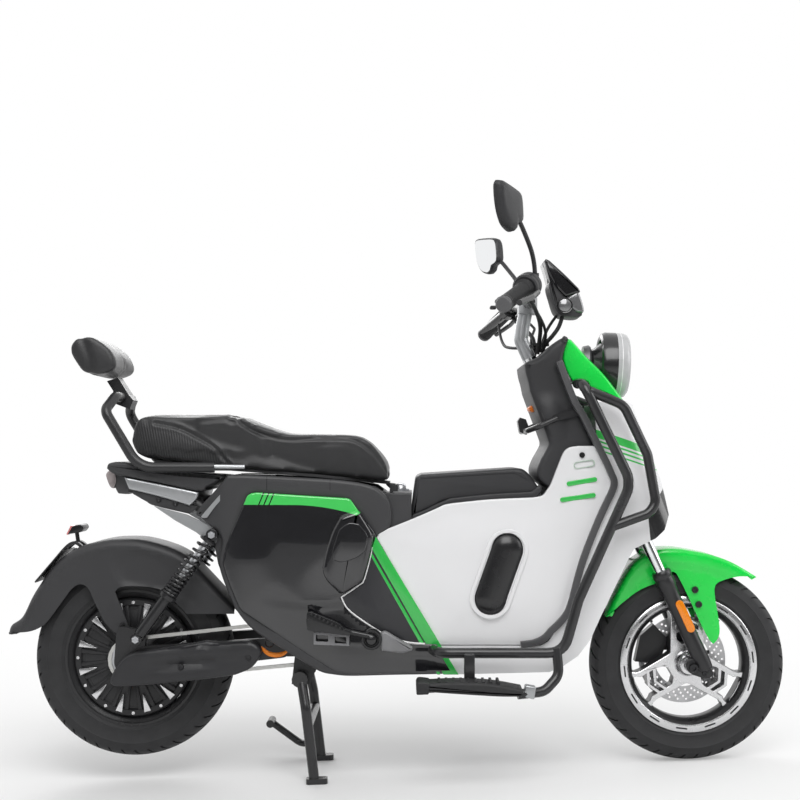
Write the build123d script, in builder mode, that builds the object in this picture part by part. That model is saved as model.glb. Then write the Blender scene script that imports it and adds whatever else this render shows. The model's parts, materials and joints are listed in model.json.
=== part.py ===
from build123d import *
from math import asin, atan2, cos, degrees, hypot, radians, sin, tan
import os

# Electric motor scooter, standing on its centre stand.
# Millimetres. Every piece is drawn with the chassis level: x runs forward from
# the rear axle, y to the rider's left, z up from the lowest point of the front
# tyre. The last section leans the whole machine down onto its front tyre and
# its stand, and puts the origin on the floor.

# Wheels
front_axle_x = 1219.8
front_axle_z = 213.8
rear_axle_z = 227.8
front_tyre_radius = 214
rear_tyre_radius = 219
front_tyre_half = 38
rear_tyre_half = 40
bead_radius = 141
flange_radius = 150
flange_inner_radius = 133
barrel_radius = 122
rim_half = 35
flange_thickness = 4
tyre_wall = 8
widest_share = 0.4
shoulder_share = 0.75
shoulder_inset = 5
axle_radius = 7
running_gap = 0.05
seat_gap = 0.3
brake_disc_radius = 97.5
brake_disc_thickness = 4
brake_disc_y = 38
motor_half = 44
sprocket_radius = 42
sprocket_y = -62

# Steering
rake = 24.6
steer_ground_x = 1279
yoke_z = 548
yoke_thickness = 24
fork_offset = 57.7
leg_spacing = 148
stanchion_radius = 12.5
slider_radius = 18
slider_top = -192
slider_bottom = -412
column_radius = 16
head_tube_radius = 24
head_tube_low_z = 585
head_tube_high_z = 835
column_top_z = 888
bar_radius = 11
bar_z = 1006
bar_x = 868
grip_radius = 16

# Bodywork
core_half = 116
panel_thickness = 14
gloss_thickness = 24
gloss_bevel = 10
wall = 5
seat_half = 110
rail_y = 80
rail_radius = 14
swing_pivot_x = 330
swing_pivot_z = 258
swing_pivot_radius = 12

# Shock absorbers
shock_low_x = 26
shock_low_z = 282
shock_top_x = 187
shock_top_z = 504
shock_pin_radius = 6
shock_bolt_radius = 7
eye_radius = 13
eye_width = 22
shock_y = core_half + eye_width / 2 + 0.2

# Stand
stand_pivot_x = 371
stand_pivot_z = 191
foot_x = 405
foot_z = -29
stand_half = 112
stand_tube_radius = 11
pivot_radius = 8

# Derived places
lean = degrees(
    atan2(front_axle_z - foot_z, front_axle_x - foot_x)
    - asin(front_tyre_radius / hypot(front_axle_x - foot_x, front_axle_z - foot_z))
)
steer_dir = (-sin(radians(rake)), 0, cos(radians(rake)))
steer_forward = (cos(radians(rake)), 0, sin(radians(rake)))
leg_y = leg_spacing / 2
front_side = Plane(origin=(front_axle_x, 0, front_axle_z), x_dir=(1, 0, 0), z_dir=(0, -1, 0))
rear_side = Plane(origin=(0, 0, rear_axle_z), x_dir=(1, 0, 0), z_dir=(0, -1, 0))
front_section = Plane(origin=(front_axle_x, 0, front_axle_z), x_dir=(0, 1, 0), z_dir=(1, 0, 0))
rear_section = Plane(origin=(0, 0, rear_axle_z), x_dir=(0, 1, 0), z_dir=(1, 0, 0))
front_axis = Axis((front_axle_x, 0, front_axle_z), (0, 1, 0))
rear_axis = Axis((0, 0, rear_axle_z), (0, 1, 0))


def on_steering_axis(z):
    return (steer_ground_x - z * tan(radians(rake)), 0, z)


def steering_plane(z):
    return Plane(origin=on_steering_axis(z), x_dir=steer_forward, z_dir=steer_dir)


yoke_plane = steering_plane(yoke_z)

pieces = {}

# ---------------------------------------------------------------- wheels

tyres = {
    "front_tyre": (front_section, front_axis, front_tyre_radius, front_tyre_half),
    "rear_tyre": (rear_section, rear_axis, rear_tyre_radius, rear_tyre_half),
}
for name, (section, axis, radius, half) in tyres.items():
    bead = rim_half - flange_thickness
    inner_bead = bead - tyre_wall
    widest = flange_radius + widest_share * (radius - flange_radius)
    shoulder_y = half - shoulder_inset
    shoulder = flange_radius + shoulder_share * (radius - flange_radius)
    inner_shoulder_y = shoulder_y - tyre_wall
    inner_shoulder = shoulder - tyre_wall / 2
    with BuildPart() as tyre:
        with BuildSketch(section):
            with BuildLine():
                ThreePointArc((-shoulder_y, shoulder), (0, radius), (shoulder_y, shoulder))
                ThreePointArc((shoulder_y, shoulder), (half, widest), (bead, flange_radius))
                Polyline(
                    (bead, flange_radius),
                    (bead, bead_radius),
                    (inner_bead, bead_radius),
                    (inner_bead, flange_radius),
                )
                ThreePointArc(
                    (inner_bead, flange_radius),
                    (half - tyre_wall, widest),
                    (inner_shoulder_y, inner_shoulder),
                )
                ThreePointArc(
                    (inner_shoulder_y, inner_shoulder),
                    (0, radius - tyre_wall - 2),
                    (-inner_shoulder_y, inner_shoulder),
                )
                ThreePointArc(
                    (-inner_shoulder_y, inner_shoulder),
                    (tyre_wall - half, widest),
                    (-inner_bead, flange_radius),
                )
                Polyline(
                    (-inner_bead, flange_radius),
                    (-inner_bead, bead_radius),
                    (-bead, bead_radius),
                    (-bead, flange_radius),
                )
                ThreePointArc((-bead, flange_radius), (-half, widest), (-shoulder_y, shoulder))
            make_face()
        revolve(axis=axis)
    pieces[name] = tyre

rim_outline = [
    (-rim_half, flange_radius),
    (flange_thickness - rim_half, flange_radius),
    (flange_thickness - rim_half, bead_radius),
    (rim_half - flange_thickness, bead_radius),
    (rim_half - flange_thickness, flange_radius),
    (rim_half, flange_radius),
    (rim_half, flange_inner_radius),
    (rim_half - 12, barrel_radius),
    (12 - rim_half, barrel_radius),
    (-rim_half, flange_inner_radius),
]

# Cast front rim: three double-armed spokes, each braced by two chevrons.
hub_radius = 27
hub_half = 42
spoke_half = 13
with BuildPart() as front_rim:
    with BuildSketch(front_section):
        Polygon(*rim_outline, align=None)
    revolve(axis=front_axis)
    with BuildSketch(front_side):
        with PolarLocations(0, 3, start_angle=90):
            Polygon((20, 4), (20, 20), (barrel_radius + 4, 56), (barrel_radius + 4, 40), align=None)
            Polygon((20, -4), (20, -20), (barrel_radius + 4, -56), (barrel_radius + 4, -40), align=None)
            Polygon((56, -20), (56, 20), (66, 24), (66, -24), align=None)
            Polygon((86, -30), (86, 30), (95, 34), (95, -34), align=None)
    extrude(amount=spoke_half, both=True)
    with BuildSketch(front_side):
        Circle(hub_radius)
    extrude(amount=hub_half, both=True)
    with BuildSketch(front_side.offset(-brake_disc_y)):
        Circle(40)
    extrude(amount=brake_disc_y - spoke_half + 1)
    with BuildSketch(front_side):
        Circle(axle_radius + running_gap)
    extrude(amount=2 * hub_half, both=True, mode=Mode.SUBTRACT)
pieces["front_rim"] = front_rim

with BuildPart() as brake_disc:
    with BuildSketch(front_side.offset(-brake_disc_y - brake_disc_thickness)):
        Circle(brake_disc_radius)
        Circle(32, mode=Mode.SUBTRACT)
        with PolarLocations(60, 6):
            Circle(12, mode=Mode.SUBTRACT)
    extrude(amount=brake_disc_thickness)
pieces["brake_disc"] = brake_disc

with BuildPart() as rear_rim:
    with BuildSketch(rear_section):
        Polygon(*rim_outline, align=None)
    revolve(axis=rear_axis)
    with BuildSketch(rear_side):
        Circle(barrel_radius + 4)
        Circle(barrel_radius - 8, mode=Mode.SUBTRACT)
    extrude(amount=12, both=True)
pieces["rear_rim"] = rear_rim

# Hub motor: a wide drum inside the rim, with the pedal sprocket on its right.
with BuildPart() as hub_motor:
    with BuildSketch(rear_side):
        Circle(barrel_radius - 8)
    extrude(amount=motor_half - 6, both=True)
    with BuildSketch(rear_side):
        Circle(74)
    extrude(amount=motor_half, both=True)
    with BuildSketch(rear_side):
        Circle(30)
    extrude(amount=-sprocket_y - 3)
    with BuildSketch(rear_side.offset(-sprocket_y - 3)):
        Circle(sprocket_radius)
    extrude(amount=6)
    with BuildSketch(rear_side):
        Circle(axle_radius + running_gap)
    extrude(amount=100, both=True, mode=Mode.SUBTRACT)
pieces["hub_motor"] = hub_motor

# ---------------------------------------------------------------- steering

with BuildPart() as fork:
    with BuildSketch(yoke_plane):
        Circle(22)
        with Locations((fork_offset, leg_y), (fork_offset, -leg_y)):
            Circle(16)
        make_hull()
    extrude(amount=yoke_thickness)
    with BuildSketch(yoke_plane.offset(slider_top)):
        with Locations((fork_offset, leg_y), (fork_offset, -leg_y)):
            Circle(stanchion_radius)
    extrude(amount=yoke_thickness + 4 - slider_top)
    with BuildSketch(yoke_plane):
        Circle(column_radius - running_gap)
    extrude(amount=(column_top_z - yoke_z) / cos(radians(rake)))
pieces["fork"] = fork

fork_line_x = 27.2
with BuildPart() as fork_sliders:
    with BuildSketch(yoke_plane.offset(slider_bottom)):
        with Locations((fork_offset, leg_y), (fork_offset, -leg_y)):
            Circle(slider_radius)
    extrude(amount=slider_top - slider_bottom)
    with BuildSketch(front_side.offset(leg_y - 14)):
        Circle(16)
        with Locations((fork_line_x, 4)):
            Circle(17)
        make_hull()
    extrude(amount=26)
    with BuildSketch(Plane.XZ.offset(leg_y - 20)):
        with BuildLine():
            Polyline((1160, 392), (1242, 392), (1252, 336), (1186, 336), close=True)
        make_face()
    extrude(amount=8)
    mirror(about=Plane.XZ)
    with BuildSketch(front_side):
        Circle(axle_radius)
    extrude(amount=leg_y + 20, both=True)
    with BuildSketch(front_side.offset(hub_half + 1)):
        Circle(11)
    extrude(amount=leg_y - 15 - hub_half)
    with BuildSketch(front_side.offset(14 - leg_y)):
        Circle(11)
    extrude(amount=leg_y - 15 - hub_half)
pieces["fork_sliders"] = fork_sliders

front_guard_half = leg_y - 20
with BuildPart() as front_mudguard:
    with BuildSketch(Plane.XZ):
        with BuildLine():
            Spline((1034, 318), (1092, 430), (1150, 466), (1222, 463), (1300, 444), (1368, 408))
            Polyline(
                (1368, 408),
                (1326, 408),
                (1286, 397),
                (1275, 360),
                (1284, 300),
                (1271, 262),
                (1246, 299),
                (1218, 360),
                (1192, 414),
                (1166, 418),
                (1145, 392),
                (1102, 374),
                (1034, 318),
            )
        make_face()
    extrude(amount=front_guard_half, both=True)
    with BuildSketch(front_side):
        Circle(front_tyre_radius + 14)
    extrude(amount=front_guard_half - 5, both=True, mode=Mode.SUBTRACT)
pieces["front_mudguard"] = front_mudguard

caliper_gap = 3
caliper_outer = brake_disc_y + brake_disc_thickness + 11
with BuildPart() as brake_caliper:
    with BuildSketch(Plane.XZ.offset(-caliper_outer)):
        with BuildLine():
            Polyline((1112, 210), (1168, 206), (1184, 262), (1154, 294), (1124, 268), close=True)
        make_face()
    extrude(amount=brake_disc_thickness + 22)
    with BuildSketch(front_side.offset(-brake_disc_y - brake_disc_thickness - caliper_gap)):
        Circle(brake_disc_radius + caliper_gap)
    extrude(amount=brake_disc_thickness + 2 * caliper_gap, mode=Mode.SUBTRACT)
    with BuildSketch(Plane.XZ.offset(-leg_y + 4)):
        with BuildLine():
            Polyline((1140, 232), (1216.6, 232), (1199.2, 270), (1140, 270), close=True)
        make_face()
    extrude(amount=leg_y - 4 - caliper_outer)
pieces["brake_caliper"] = brake_caliper

# Bent stem with the handlebar clamp on top.
with BuildPart() as steering_stem:
    stem_foot = on_steering_axis(column_top_z)
    with BuildLine() as stem_path:
        FilletPolyline(
            stem_foot,
            on_steering_axis(column_top_z + 40),
            (858, 0, 958), (bar_x, 0, bar_z),
            radius=20,
        )
    with BuildSketch(Plane(origin=stem_path.line @ 0, z_dir=stem_path.line % 0)):
        Circle(15.5)
    sweep()
    with BuildSketch(Plane.XZ):
        with Locations((bar_x, bar_z)):
            Rectangle(40, 40)
    extrude(amount=27, both=True)
    with BuildSketch(Plane.XZ):
        with Locations((bar_x, bar_z)):
            Circle(bar_radius + running_gap)
    extrude(amount=40, both=True, mode=Mode.SUBTRACT)
pieces["steering_stem"] = steering_stem

bar_points = [
    (787, -345, 975),
    (829, -230, 1005),
    (850, -165, 1020),
    (bar_x, -80, bar_z),
    (bar_x, 80, bar_z),
    (850, 165, 1020),
    (829, 230, 1005),
    (787, 345, 975),
]
with BuildPart() as handlebar:
    with BuildLine() as bar_path:
        FilletPolyline(*bar_points, radius=25)
    with BuildSketch(Plane(origin=bar_path.line @ 0, z_dir=bar_path.line % 0)):
        Circle(bar_radius)
    sweep()
pieces["handlebar"] = handlebar

# Grips with the switch housing at their inner end.
grip_inner = Vector(833, 219, 1007.9)
grip_outer = Vector(787, 345, 975)
grip_dir = (grip_outer - grip_inner).normalized()
grip_plane = Plane(origin=grip_inner, z_dir=grip_dir)
with BuildPart() as grips:
    with BuildSketch(grip_plane.offset(44)):
        Circle(grip_radius)
    extrude(amount=98)
    with BuildSketch(grip_plane.offset(14)):
        Circle(28)
    extrude(amount=30)
    with BuildSketch(grip_plane.offset(-2)):
        Circle(bar_radius + seat_gap)
    extrude(amount=140.6, mode=Mode.SUBTRACT)
    mirror(about=Plane.XZ)
pieces["grips"] = grips

# Lever clamps on the bar, each with the lever and the mirror's screw boss.
perch_y = 190
perch_radius = 18
boss_x = 866
boss_top_z = 1034
perch_plane = Plane(origin=(843.5, perch_y - 4, 1015.2), z_dir=(-21, 65, -15))
with BuildPart() as brake_levers:
    with BuildSketch(perch_plane):
        Circle(perch_radius)
    extrude(amount=22)
    with BuildSketch(Plane.XY.offset(boss_top_z - 30)):
        with Locations((boss_x, perch_y)):
            Circle(9)
    extrude(amount=30)
    with BuildLine() as lever_path:
        FilletPolyline(
            (862, perch_y + 8, 1010),
            (870, 232, 1008), (852, 300, 990), (822, 362, 972),
            radius=12,
        )
    with BuildSketch(Plane(origin=lever_path.line @ 0, z_dir=lever_path.line % 0)):
        Circle(6)
    sweep()
    with BuildSketch(perch_plane.offset(-10)):
        Circle(bar_radius + 0.5)
    extrude(amount=50, mode=Mode.SUBTRACT)
    mirror(about=Plane.XZ)
pieces["brake_levers"] = brake_levers

mirror_yaw = 28
mirror_centre = Vector(798, -330, 1164)
mirror_normal = Vector(-cos(radians(mirror_yaw)), sin(radians(mirror_yaw)), 0)
mirror_width_dir = Vector(sin(radians(mirror_yaw)), cos(radians(mirror_yaw)), 0)
mirror_plane = Plane(origin=mirror_centre, x_dir=mirror_width_dir, z_dir=mirror_normal)
for side, name in ((1, "mirror_right"), (-1, "mirror_left")):
    with BuildPart() as side_mirror:
        with BuildSketch(mirror_plane.offset(-14)):
            RectangleRounded(130, 93, 34)
        extrude(amount=24)
        with BuildLine() as stalk_path:
            FilletPolyline(
                (boss_x, -perch_y, boss_top_z),
                (boss_x, -perch_y, boss_top_z + 16),
                (864, -196, 1078),
                (846, -236, 1113),
                (820, -292, 1146),
                (806, -322, 1156),
                radius=14,
            )
        with BuildSketch(Plane(origin=stalk_path.line @ 0, z_dir=stalk_path.line % 0)):
            Circle(4.5)
        sweep()
        if side < 0:
            mirror(about=Plane.XZ, mode=Mode.REPLACE)
    pieces[name] = side_mirror

dash_half = 52
with BuildPart() as dash:
    with BuildSketch(Plane.XZ):
        with BuildLine():
            Polyline(
                (bar_x + 20, bar_z - 18),
                (bar_x + 20, bar_z + 20),
                (898, 1058),
                (890, 1086),
                (906, 1109),
                (983, 1041),
                (996, 995),
                (962, 980),
                close=True,
            )
        make_face()
    extrude(amount=dash_half, both=True)
pieces["dash"] = dash

# ---------------------------------------------------------------- frame

rail_points = [(900, 262), (860, 247), (415, 247), (300, 400), (215, 512), (120, 590), (2, 606)]
with BuildPart() as main_frame:
    with BuildSketch(steering_plane(head_tube_low_z)):
        Circle(head_tube_radius)
    extrude(amount=(head_tube_high_z - head_tube_low_z) / cos(radians(rake)))
    with BuildLine() as down_tube_path:
        FilletPolyline((982, 0, 640), (940, 0, 520), (905, 0, 330), (885, 0, 262), (850, 0, 247), radius=30)
    with BuildSketch(Plane(origin=down_tube_path.line @ 0, z_dir=down_tube_path.line % 0)):
        Circle(19)
    sweep()
    with BuildLine() as rail_path:
        FilletPolyline(*[(x, -rail_y, z) for x, z in rail_points], radius=40)
    with BuildSketch(Plane(origin=rail_path.line @ 0, z_dir=rail_path.line % 0)):
        Circle(rail_radius)
    sweep()
    # Shock top bracket and pin
    with BuildSketch(Plane.XZ.offset(rail_y - 8)):
        with BuildLine():
            Polyline((168, 490), (176, 528), (205, 545), (262, 470), (246, 440), close=True)
        make_face()
    extrude(amount=16)
    with BuildSketch(Plane.XZ.offset(rail_y)):
        with Locations((shock_top_x, shock_top_z)):
            Circle(shock_bolt_radius)
    extrude(amount=shock_y + eye_width / 2 - rail_y)
    # Stand bracket ear, with the pivot pin
    with BuildSketch(Plane.XZ.offset(rail_y - 6)):
        with BuildLine():
            Polyline((360, 250), (420, 250), (392, 178), (352, 178), close=True)
        make_face()
    extrude(amount=8)
    # Swingarm pivot ear
    with BuildSketch(Plane.XZ.offset(rail_y - 22)):
        with BuildLine():
            Polyline((300, 280), (312, 236), (420, 236), (420, 262), (360, 300), close=True)
        make_face()
    extrude(amount=12)
    with BuildSketch(Plane.XZ.offset(rail_y - 24)):
        with Locations((swing_pivot_x, swing_pivot_z)):
            Circle(swing_pivot_radius + 0.1)
    extrude(amount=16, mode=Mode.SUBTRACT)
    # Belly outriggers
    outrigger_y = -(core_half + rail_y) / 2
    with BuildSketch(Plane.XY.offset(240)):
        with Locations((692, outrigger_y), (850, outrigger_y)):
            Rectangle(30, core_half - rail_y)
    extrude(amount=12)
    mirror(about=Plane.XZ)
    # Cross tubes
    with BuildSketch(Plane.XZ):
        with Locations((850, 247), (440, 247), (14, 604), (187, 540)):
            Circle(12)
    extrude(amount=rail_y, both=True)
    with BuildSketch(Plane.XZ):
        with Locations((stand_pivot_x, stand_pivot_z)):
            Circle(pivot_radius)
    extrude(amount=rail_y + 10, both=True)
    # Tub support and battery tray
    with BuildSketch(Plane.XY.offset(456)):
        with Locations((285, 0)):
            Rectangle(86, 2 * rail_y + 20)
    extrude(amount=14)
    with BuildSketch(Plane.XY.offset(255)):
        with Locations((745, 0)):
            Rectangle(230, 2 * rail_y)
    extrude(amount=8)
    with BuildSketch(steering_plane(head_tube_low_z - 20)):
        Circle(column_radius)
    extrude(amount=(head_tube_high_z - head_tube_low_z + 60) / cos(radians(rake)), mode=Mode.SUBTRACT)
pieces["main_frame"] = main_frame

# Swingarm with the rear axle and the shock's lower ears.
arm_inner = 74
arm_outer = 90
with BuildPart() as swingarm:
    with BuildSketch(Plane.XZ.offset(arm_inner)):
        with Locations((swing_pivot_x, swing_pivot_z)):
            Circle(22)
        with Locations((0, rear_axle_z)):
            Circle(30)
        make_hull()
    extrude(amount=arm_outer - arm_inner)
    with BuildSketch(Plane.XZ.offset(arm_inner)):
        with Locations((0, rear_axle_z)):
            Circle(30)
        with Locations((shock_low_x, shock_low_z), (-12, 290)):
            Circle(13)
        make_hull()
    extrude(amount=arm_outer - arm_inner)
    with BuildSketch(Plane.XZ.offset(arm_outer)):
        with Locations((shock_low_x, shock_low_z)):
            Circle(shock_pin_radius)
    extrude(amount=shock_y + eye_width / 2 - arm_outer)
    mirror(about=Plane.XZ)
    with BuildSketch(Plane.XZ):
        with Locations((swing_pivot_x, swing_pivot_z)):
            Circle(swing_pivot_radius)
    extrude(amount=arm_outer, both=True)
    with BuildSketch(rear_side):
        Circle(axle_radius)
    extrude(amount=arm_outer + 16, both=True)
pieces["swingarm"] = swingarm

cover_outline = [
    (-35, 196),
    (-22, 214),
    (-10, 234),
    (14, 250),
    (60, 257),
    (171, 274),
    (210, 271),
    (266, 274),
    (286, 264),
    (288, 246),
    (266, 218),
    (234, 204),
    (171, 195),
    (52, 183),
    (-11, 179),
    (-32, 184),
]
with BuildPart() as swingarm_cover:
    with BuildSketch(Plane.XZ.offset(arm_outer)):
        Polygon(*cover_outline, align=None)
    extrude(amount=20)
    with BuildSketch(Plane.XZ.offset(arm_outer + 20)):
        Polygon(*cover_outline, align=None)
    extrude(amount=8, taper=35)
    with BuildSketch(Plane.XZ.offset(arm_outer)):
        with Locations((0, rear_axle_z)):
            Circle(17)
        with Locations((shock_low_x, shock_low_z)):
            Circle(eye_radius + 1)
    extrude(amount=40, mode=Mode.SUBTRACT)
pieces["swingarm_cover"] = swingarm_cover

# Twin shock absorbers between the swingarm and the frame.
shock_low = Vector(shock_low_x, 0, shock_low_z)
shock_high = Vector(shock_top_x, 0, shock_top_z)
shock_dir = (shock_high - shock_low).normalized()
shock_length = (shock_high - shock_low).length
body_radius = 9
spring_radius = 18
spring_start = 126
spring_length = 112
rod_radius = 7
with BuildPart() as shock_absorbers:
    for side in (1, -1):
        shock_plane = Plane(
            origin=(shock_low_x, -side * shock_y, shock_low_z),
            x_dir=(0, 1, 0),
            z_dir=shock_dir,
        )
        with BuildSketch(Plane.XZ.offset(side * shock_y - eye_width / 2)):
            with Locations((shock_low_x, shock_low_z), (shock_top_x, shock_top_z)):
                Circle(eye_radius)
        extrude(amount=eye_width)
        with BuildSketch(shock_plane.offset(10)):
            Circle(body_radius)
        extrude(amount=26)
        with BuildSketch(shock_plane.offset(36)):
            Circle(spring_radius)
        extrude(amount=spring_start + spring_length - 36)
        with BuildSketch(shock_plane.offset(spring_start + spring_length)):
            Circle(rod_radius)
        extrude(amount=shock_length - spring_start - spring_length - 10)
    with BuildSketch(Plane.XZ):
        with Locations((shock_low_x, shock_low_z)):
            Circle(shock_pin_radius + 0.1)
        with Locations((shock_top_x, shock_top_z)):
            Circle(shock_bolt_radius + 0.1)
    extrude(amount=shock_y + eye_width, both=True, mode=Mode.SUBTRACT)
pieces["shock_absorbers"] = shock_absorbers

rear_guard_half = 60
with BuildPart() as rear_mudguard:
    with BuildSketch(Plane.XZ):
        with BuildLine():
            Spline(
                (-262, 290), (-240, 326), (-211, 374), (-165, 437), (-119, 470),
                (-20, 491), (84, 471), (150, 425),
            )
            Polyline(
                (150, 425),
                (226, 334),
                (122, 329),
                (59, 384),
                (12, 389),
                (-25, 385),
                (-12, 312),
                (0, 300),
                (-2, 284),
                (-24, 284),
                (-52, 306),
                (-81, 359),
                (-95, 385),
                (-108, 393),
                (-132, 379),
                (-180, 306),
                (-221, 293),
                (-262, 290),
            )
        make_face()
    extrude(amount=rear_guard_half, both=True)
    with BuildSketch(rear_side):
        Circle(rear_tyre_radius + 15)
    extrude(amount=rear_guard_half - 5, both=True, mode=Mode.SUBTRACT)
    with BuildSketch(Plane.XZ.offset(rear_guard_half - 2)):
        with Locations((-12, 292)):
            Circle(7)
    extrude(amount=arm_inner - rear_guard_half + 2)
    with BuildSketch(Plane.XZ.offset(-arm_inner)):
        with Locations((-12, 292)):
            Circle(7)
    extrude(amount=arm_inner - rear_guard_half + 2)
pieces["rear_mudguard"] = rear_mudguard

# Licence plate bracket across the mudguard, with the reflector on its stalk.
plate_tilt = 42
plate_origin = Vector(-179, 0, 430)
plate_normal = Vector(-sin(radians(90 - plate_tilt)), 0, cos(radians(90 - plate_tilt)))
plate_plane = Plane(origin=plate_origin, x_dir=(0, 1, 0), z_dir=plate_normal)
with BuildPart() as plate_bracket:
    with BuildSketch(plate_plane):
        RectangleRounded(130, 96, 8)
        with PolarLocations(32, 4, start_angle=45):
            Circle(3.5, mode=Mode.SUBTRACT)
    extrude(amount=3)
    with BuildSketch(plate_plane.offset(-14)):
        with Locations((0, 12)):
            Rectangle(30, 40)
    extrude(amount=14)
    with BuildSketch(Plane.XZ):
        with BuildLine():
            Polyline((-152, 462), (-146, 466), (-134, 478), (-112, 488), (-112, 504), (-148, 508), close=True)
        make_face()
    extrude(amount=20, both=True)
    add(rear_mudguard.part, mode=Mode.SUBTRACT)
pieces["plate_bracket"] = plate_bracket

# ---------------------------------------------------------------- tail

hoop_y = 128
hoop_tube_radius = 11
tail_top_z = 636
hoop_z = tail_top_z + hoop_tube_radius + 0.1
with BuildPart() as tail_unit:
    with BuildSketch(Plane.XZ):
        with BuildLine():
            Polyline(
                (-42, 645),
                (-33, 658),
                (8, 656),
                (34, tail_top_z + 6),
                (60, tail_top_z),
                (204, tail_top_z),
                (204, 622),
                (158, 594),
                (138, 566),
                (133, 547),
                (60, 565),
                (12, 588),
                close=True,
            )
        make_face()
    extrude(amount=hoop_y + 6, both=True)
    with BuildSketch(Plane.XY.offset(500)):
        with BuildLine():
            Polyline((-60, 60), (-60, 200), (120, 200), (84, 134), (20, 100), close=True)
        make_face()
    extrude(amount=200, mode=Mode.SUBTRACT)
    with BuildSketch(Plane.XY.offset(500)):
        with BuildLine():
            Polyline((-60, -60), (-60, -200), (120, -200), (84, -134), (20, -100), close=True)
        make_face()
    extrude(amount=200, mode=Mode.SUBTRACT)
    with BuildSketch(Plane.XY.offset(500)):
        with Locations((107, 0)):
            Rectangle(225, 2 * rail_y + 44)
    extrude(amount=120.3, mode=Mode.SUBTRACT)
pieces["tail_unit"] = tail_unit

with BuildPart() as tail_lamp:
    with BuildSketch(Plane.XZ):
        with BuildLine():
            Polyline(
                (-58, 612), (-46, 636), (-42.5, 644.5), (-15.5, 616), (-15.5, 598),
                (-34, 592),
                close=True,
            )
        make_face()
    extrude(amount=52, both=True)
pieces["tail_lamp"] = tail_lamp

# Curved silver arms from the tail down to the top of each shock.
with BuildPart() as rear_arms:
    with BuildSketch(Plane.XZ.offset(104)):
        with BuildLine():
            Polyline(
                (60, 564),
                (130, 546),
                (176, 524),
                (202, 508),
                (206, 494),
                (190, 484),
                (168, 494),
                (150, 508),
                (104, 534),
                close=True,
            )
        make_face()
        with Locations((shock_top_x, shock_top_z)):
            Circle(shock_bolt_radius, mode=Mode.SUBTRACT)
    extrude(amount=6)
    mirror(about=Plane.XZ)
pieces["rear_arms"] = rear_arms

with BuildPart() as backrest_frame:
    with BuildLine() as hoop_path:
        FilletPolyline(
            (192, -hoop_y, hoop_z),
            (30, -hoop_y, hoop_z),
            (-42, -hoop_y, 768),
            (-28, -86, 800),
            (-28, 86, 800),
            (-42, hoop_y, 768),
            (30, hoop_y, hoop_z),
            (192, hoop_y, hoop_z),
            radius=[60, 22, 30, 30, 22, 60],
        )
    with BuildSketch(Plane(origin=hoop_path.line @ 0, z_dir=hoop_path.line % 0)):
        Circle(hoop_tube_radius)
    sweep()
    with BuildSketch(Plane.XZ):
        with BuildLine():
            Polyline(
                (-52, 790), (-46, 814), (-60, 836), (-36, 844), (-12, 806), (-2, 794),
                (-10, 774),
                close=True,
            )
        make_face()
    extrude(amount=26, both=True)
pieces["backrest_frame"] = backrest_frame

with BuildPart() as backrest_pad:
    with BuildSketch(Plane.XZ):
        with BuildLine():
            Polyline(
                (-127, 914),
                (-118, 928),
                (-102, 934),
                (-74, 931),
                (-40, 908),
                (-20, 874),
                (-20, 858),
                (-36, 844.3),
                (-60, 836.3),
                (-92, 846),
                (-108, 870),
                close=True,
            )
        make_face()
    extrude(amount=110, both=True)
pieces["backrest_pad"] = backrest_pad

# ---------------------------------------------------------------- rear body

tub_x0 = 300
tub_x1 = 545
tub_half = 92
tub_floor_z = 470
seat_hinge_x = 572
seat_hinge_z = 602
body_outline = [
    (219, 630),
    (305, 628),
    (447, 620),
    (534, 606),
    (556, 590),
    (611, 590),
    (611, 530),
    (568, 500),
    (560, 300),
    (700, 207),
    (445, 205),
    (413, 215),
    (352, 252),
    (273, 303),
    (234, 345),
    (198, 441),
    (191, 477),
    (198, 500),
    (192, 518),
    (156, 546),
]
with BuildPart() as rear_body:
    with BuildSketch(Plane.XZ):
        Polygon(*body_outline, align=None)
    extrude(amount=core_half, both=True)
    # Room for the wheel, the frame and the arms, open below and behind
    with BuildSketch(Plane.XZ):
        with BuildLine():
            Polyline(
                (100, 180), (100, 620), (294, 620), (294, tub_floor_z),
                (720, tub_floor_z), (720, 180),
                close=True,
            )
        make_face()
    extrude(amount=core_half - wall, both=True, mode=Mode.SUBTRACT)
    # Storage tub under the seat
    with BuildSketch(Plane.XZ):
        with BuildLine():
            Polyline(
                (tub_x0, tub_floor_z + wall),
                (tub_x0, 700),
                (tub_x1 + 6, 700),
                (tub_x1, tub_floor_z + wall),
                close=True,
            )
        make_face()
    extrude(amount=tub_half, both=True, mode=Mode.SUBTRACT)
    # Spaces between the tub and the outer skin
    with BuildSketch(Plane.XZ.offset(tub_half + wall)):
        with BuildLine():
            Polyline(
                (294, 460), (294, 618), (530, 600), (600, 580), (600, 535), (555, 505),
                (550, 460),
                close=True,
            )
        make_face()
    extrude(amount=core_half - tub_half - 2 * wall, mode=Mode.SUBTRACT)
    with BuildSketch(Plane.XZ.offset(wall - core_half)):
        with BuildLine():
            Polyline(
                (294, 460), (294, 618), (530, 600), (600, 580), (600, 535), (555, 505),
                (550, 460),
                close=True,
            )
        make_face()
    extrude(amount=core_half - tub_half - 2 * wall, mode=Mode.SUBTRACT)
    # Seat hinge ears with their pin
    with BuildSketch(Plane.XZ.offset(30)):
        with BuildLine():
            Polyline(
                (seat_hinge_x - 10, 580),
                (seat_hinge_x + 10, 580),
                (seat_hinge_x + 8, 608),
                (seat_hinge_x - 8, 608),
                close=True,
            )
        make_face()
    extrude(amount=8)
    mirror(about=Plane.XZ)
    with BuildSketch(Plane.XZ):
        with Locations((seat_hinge_x, seat_hinge_z)):
            Circle(4)
    extrude(amount=34, both=True)
pieces["rear_body"] = rear_body

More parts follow.
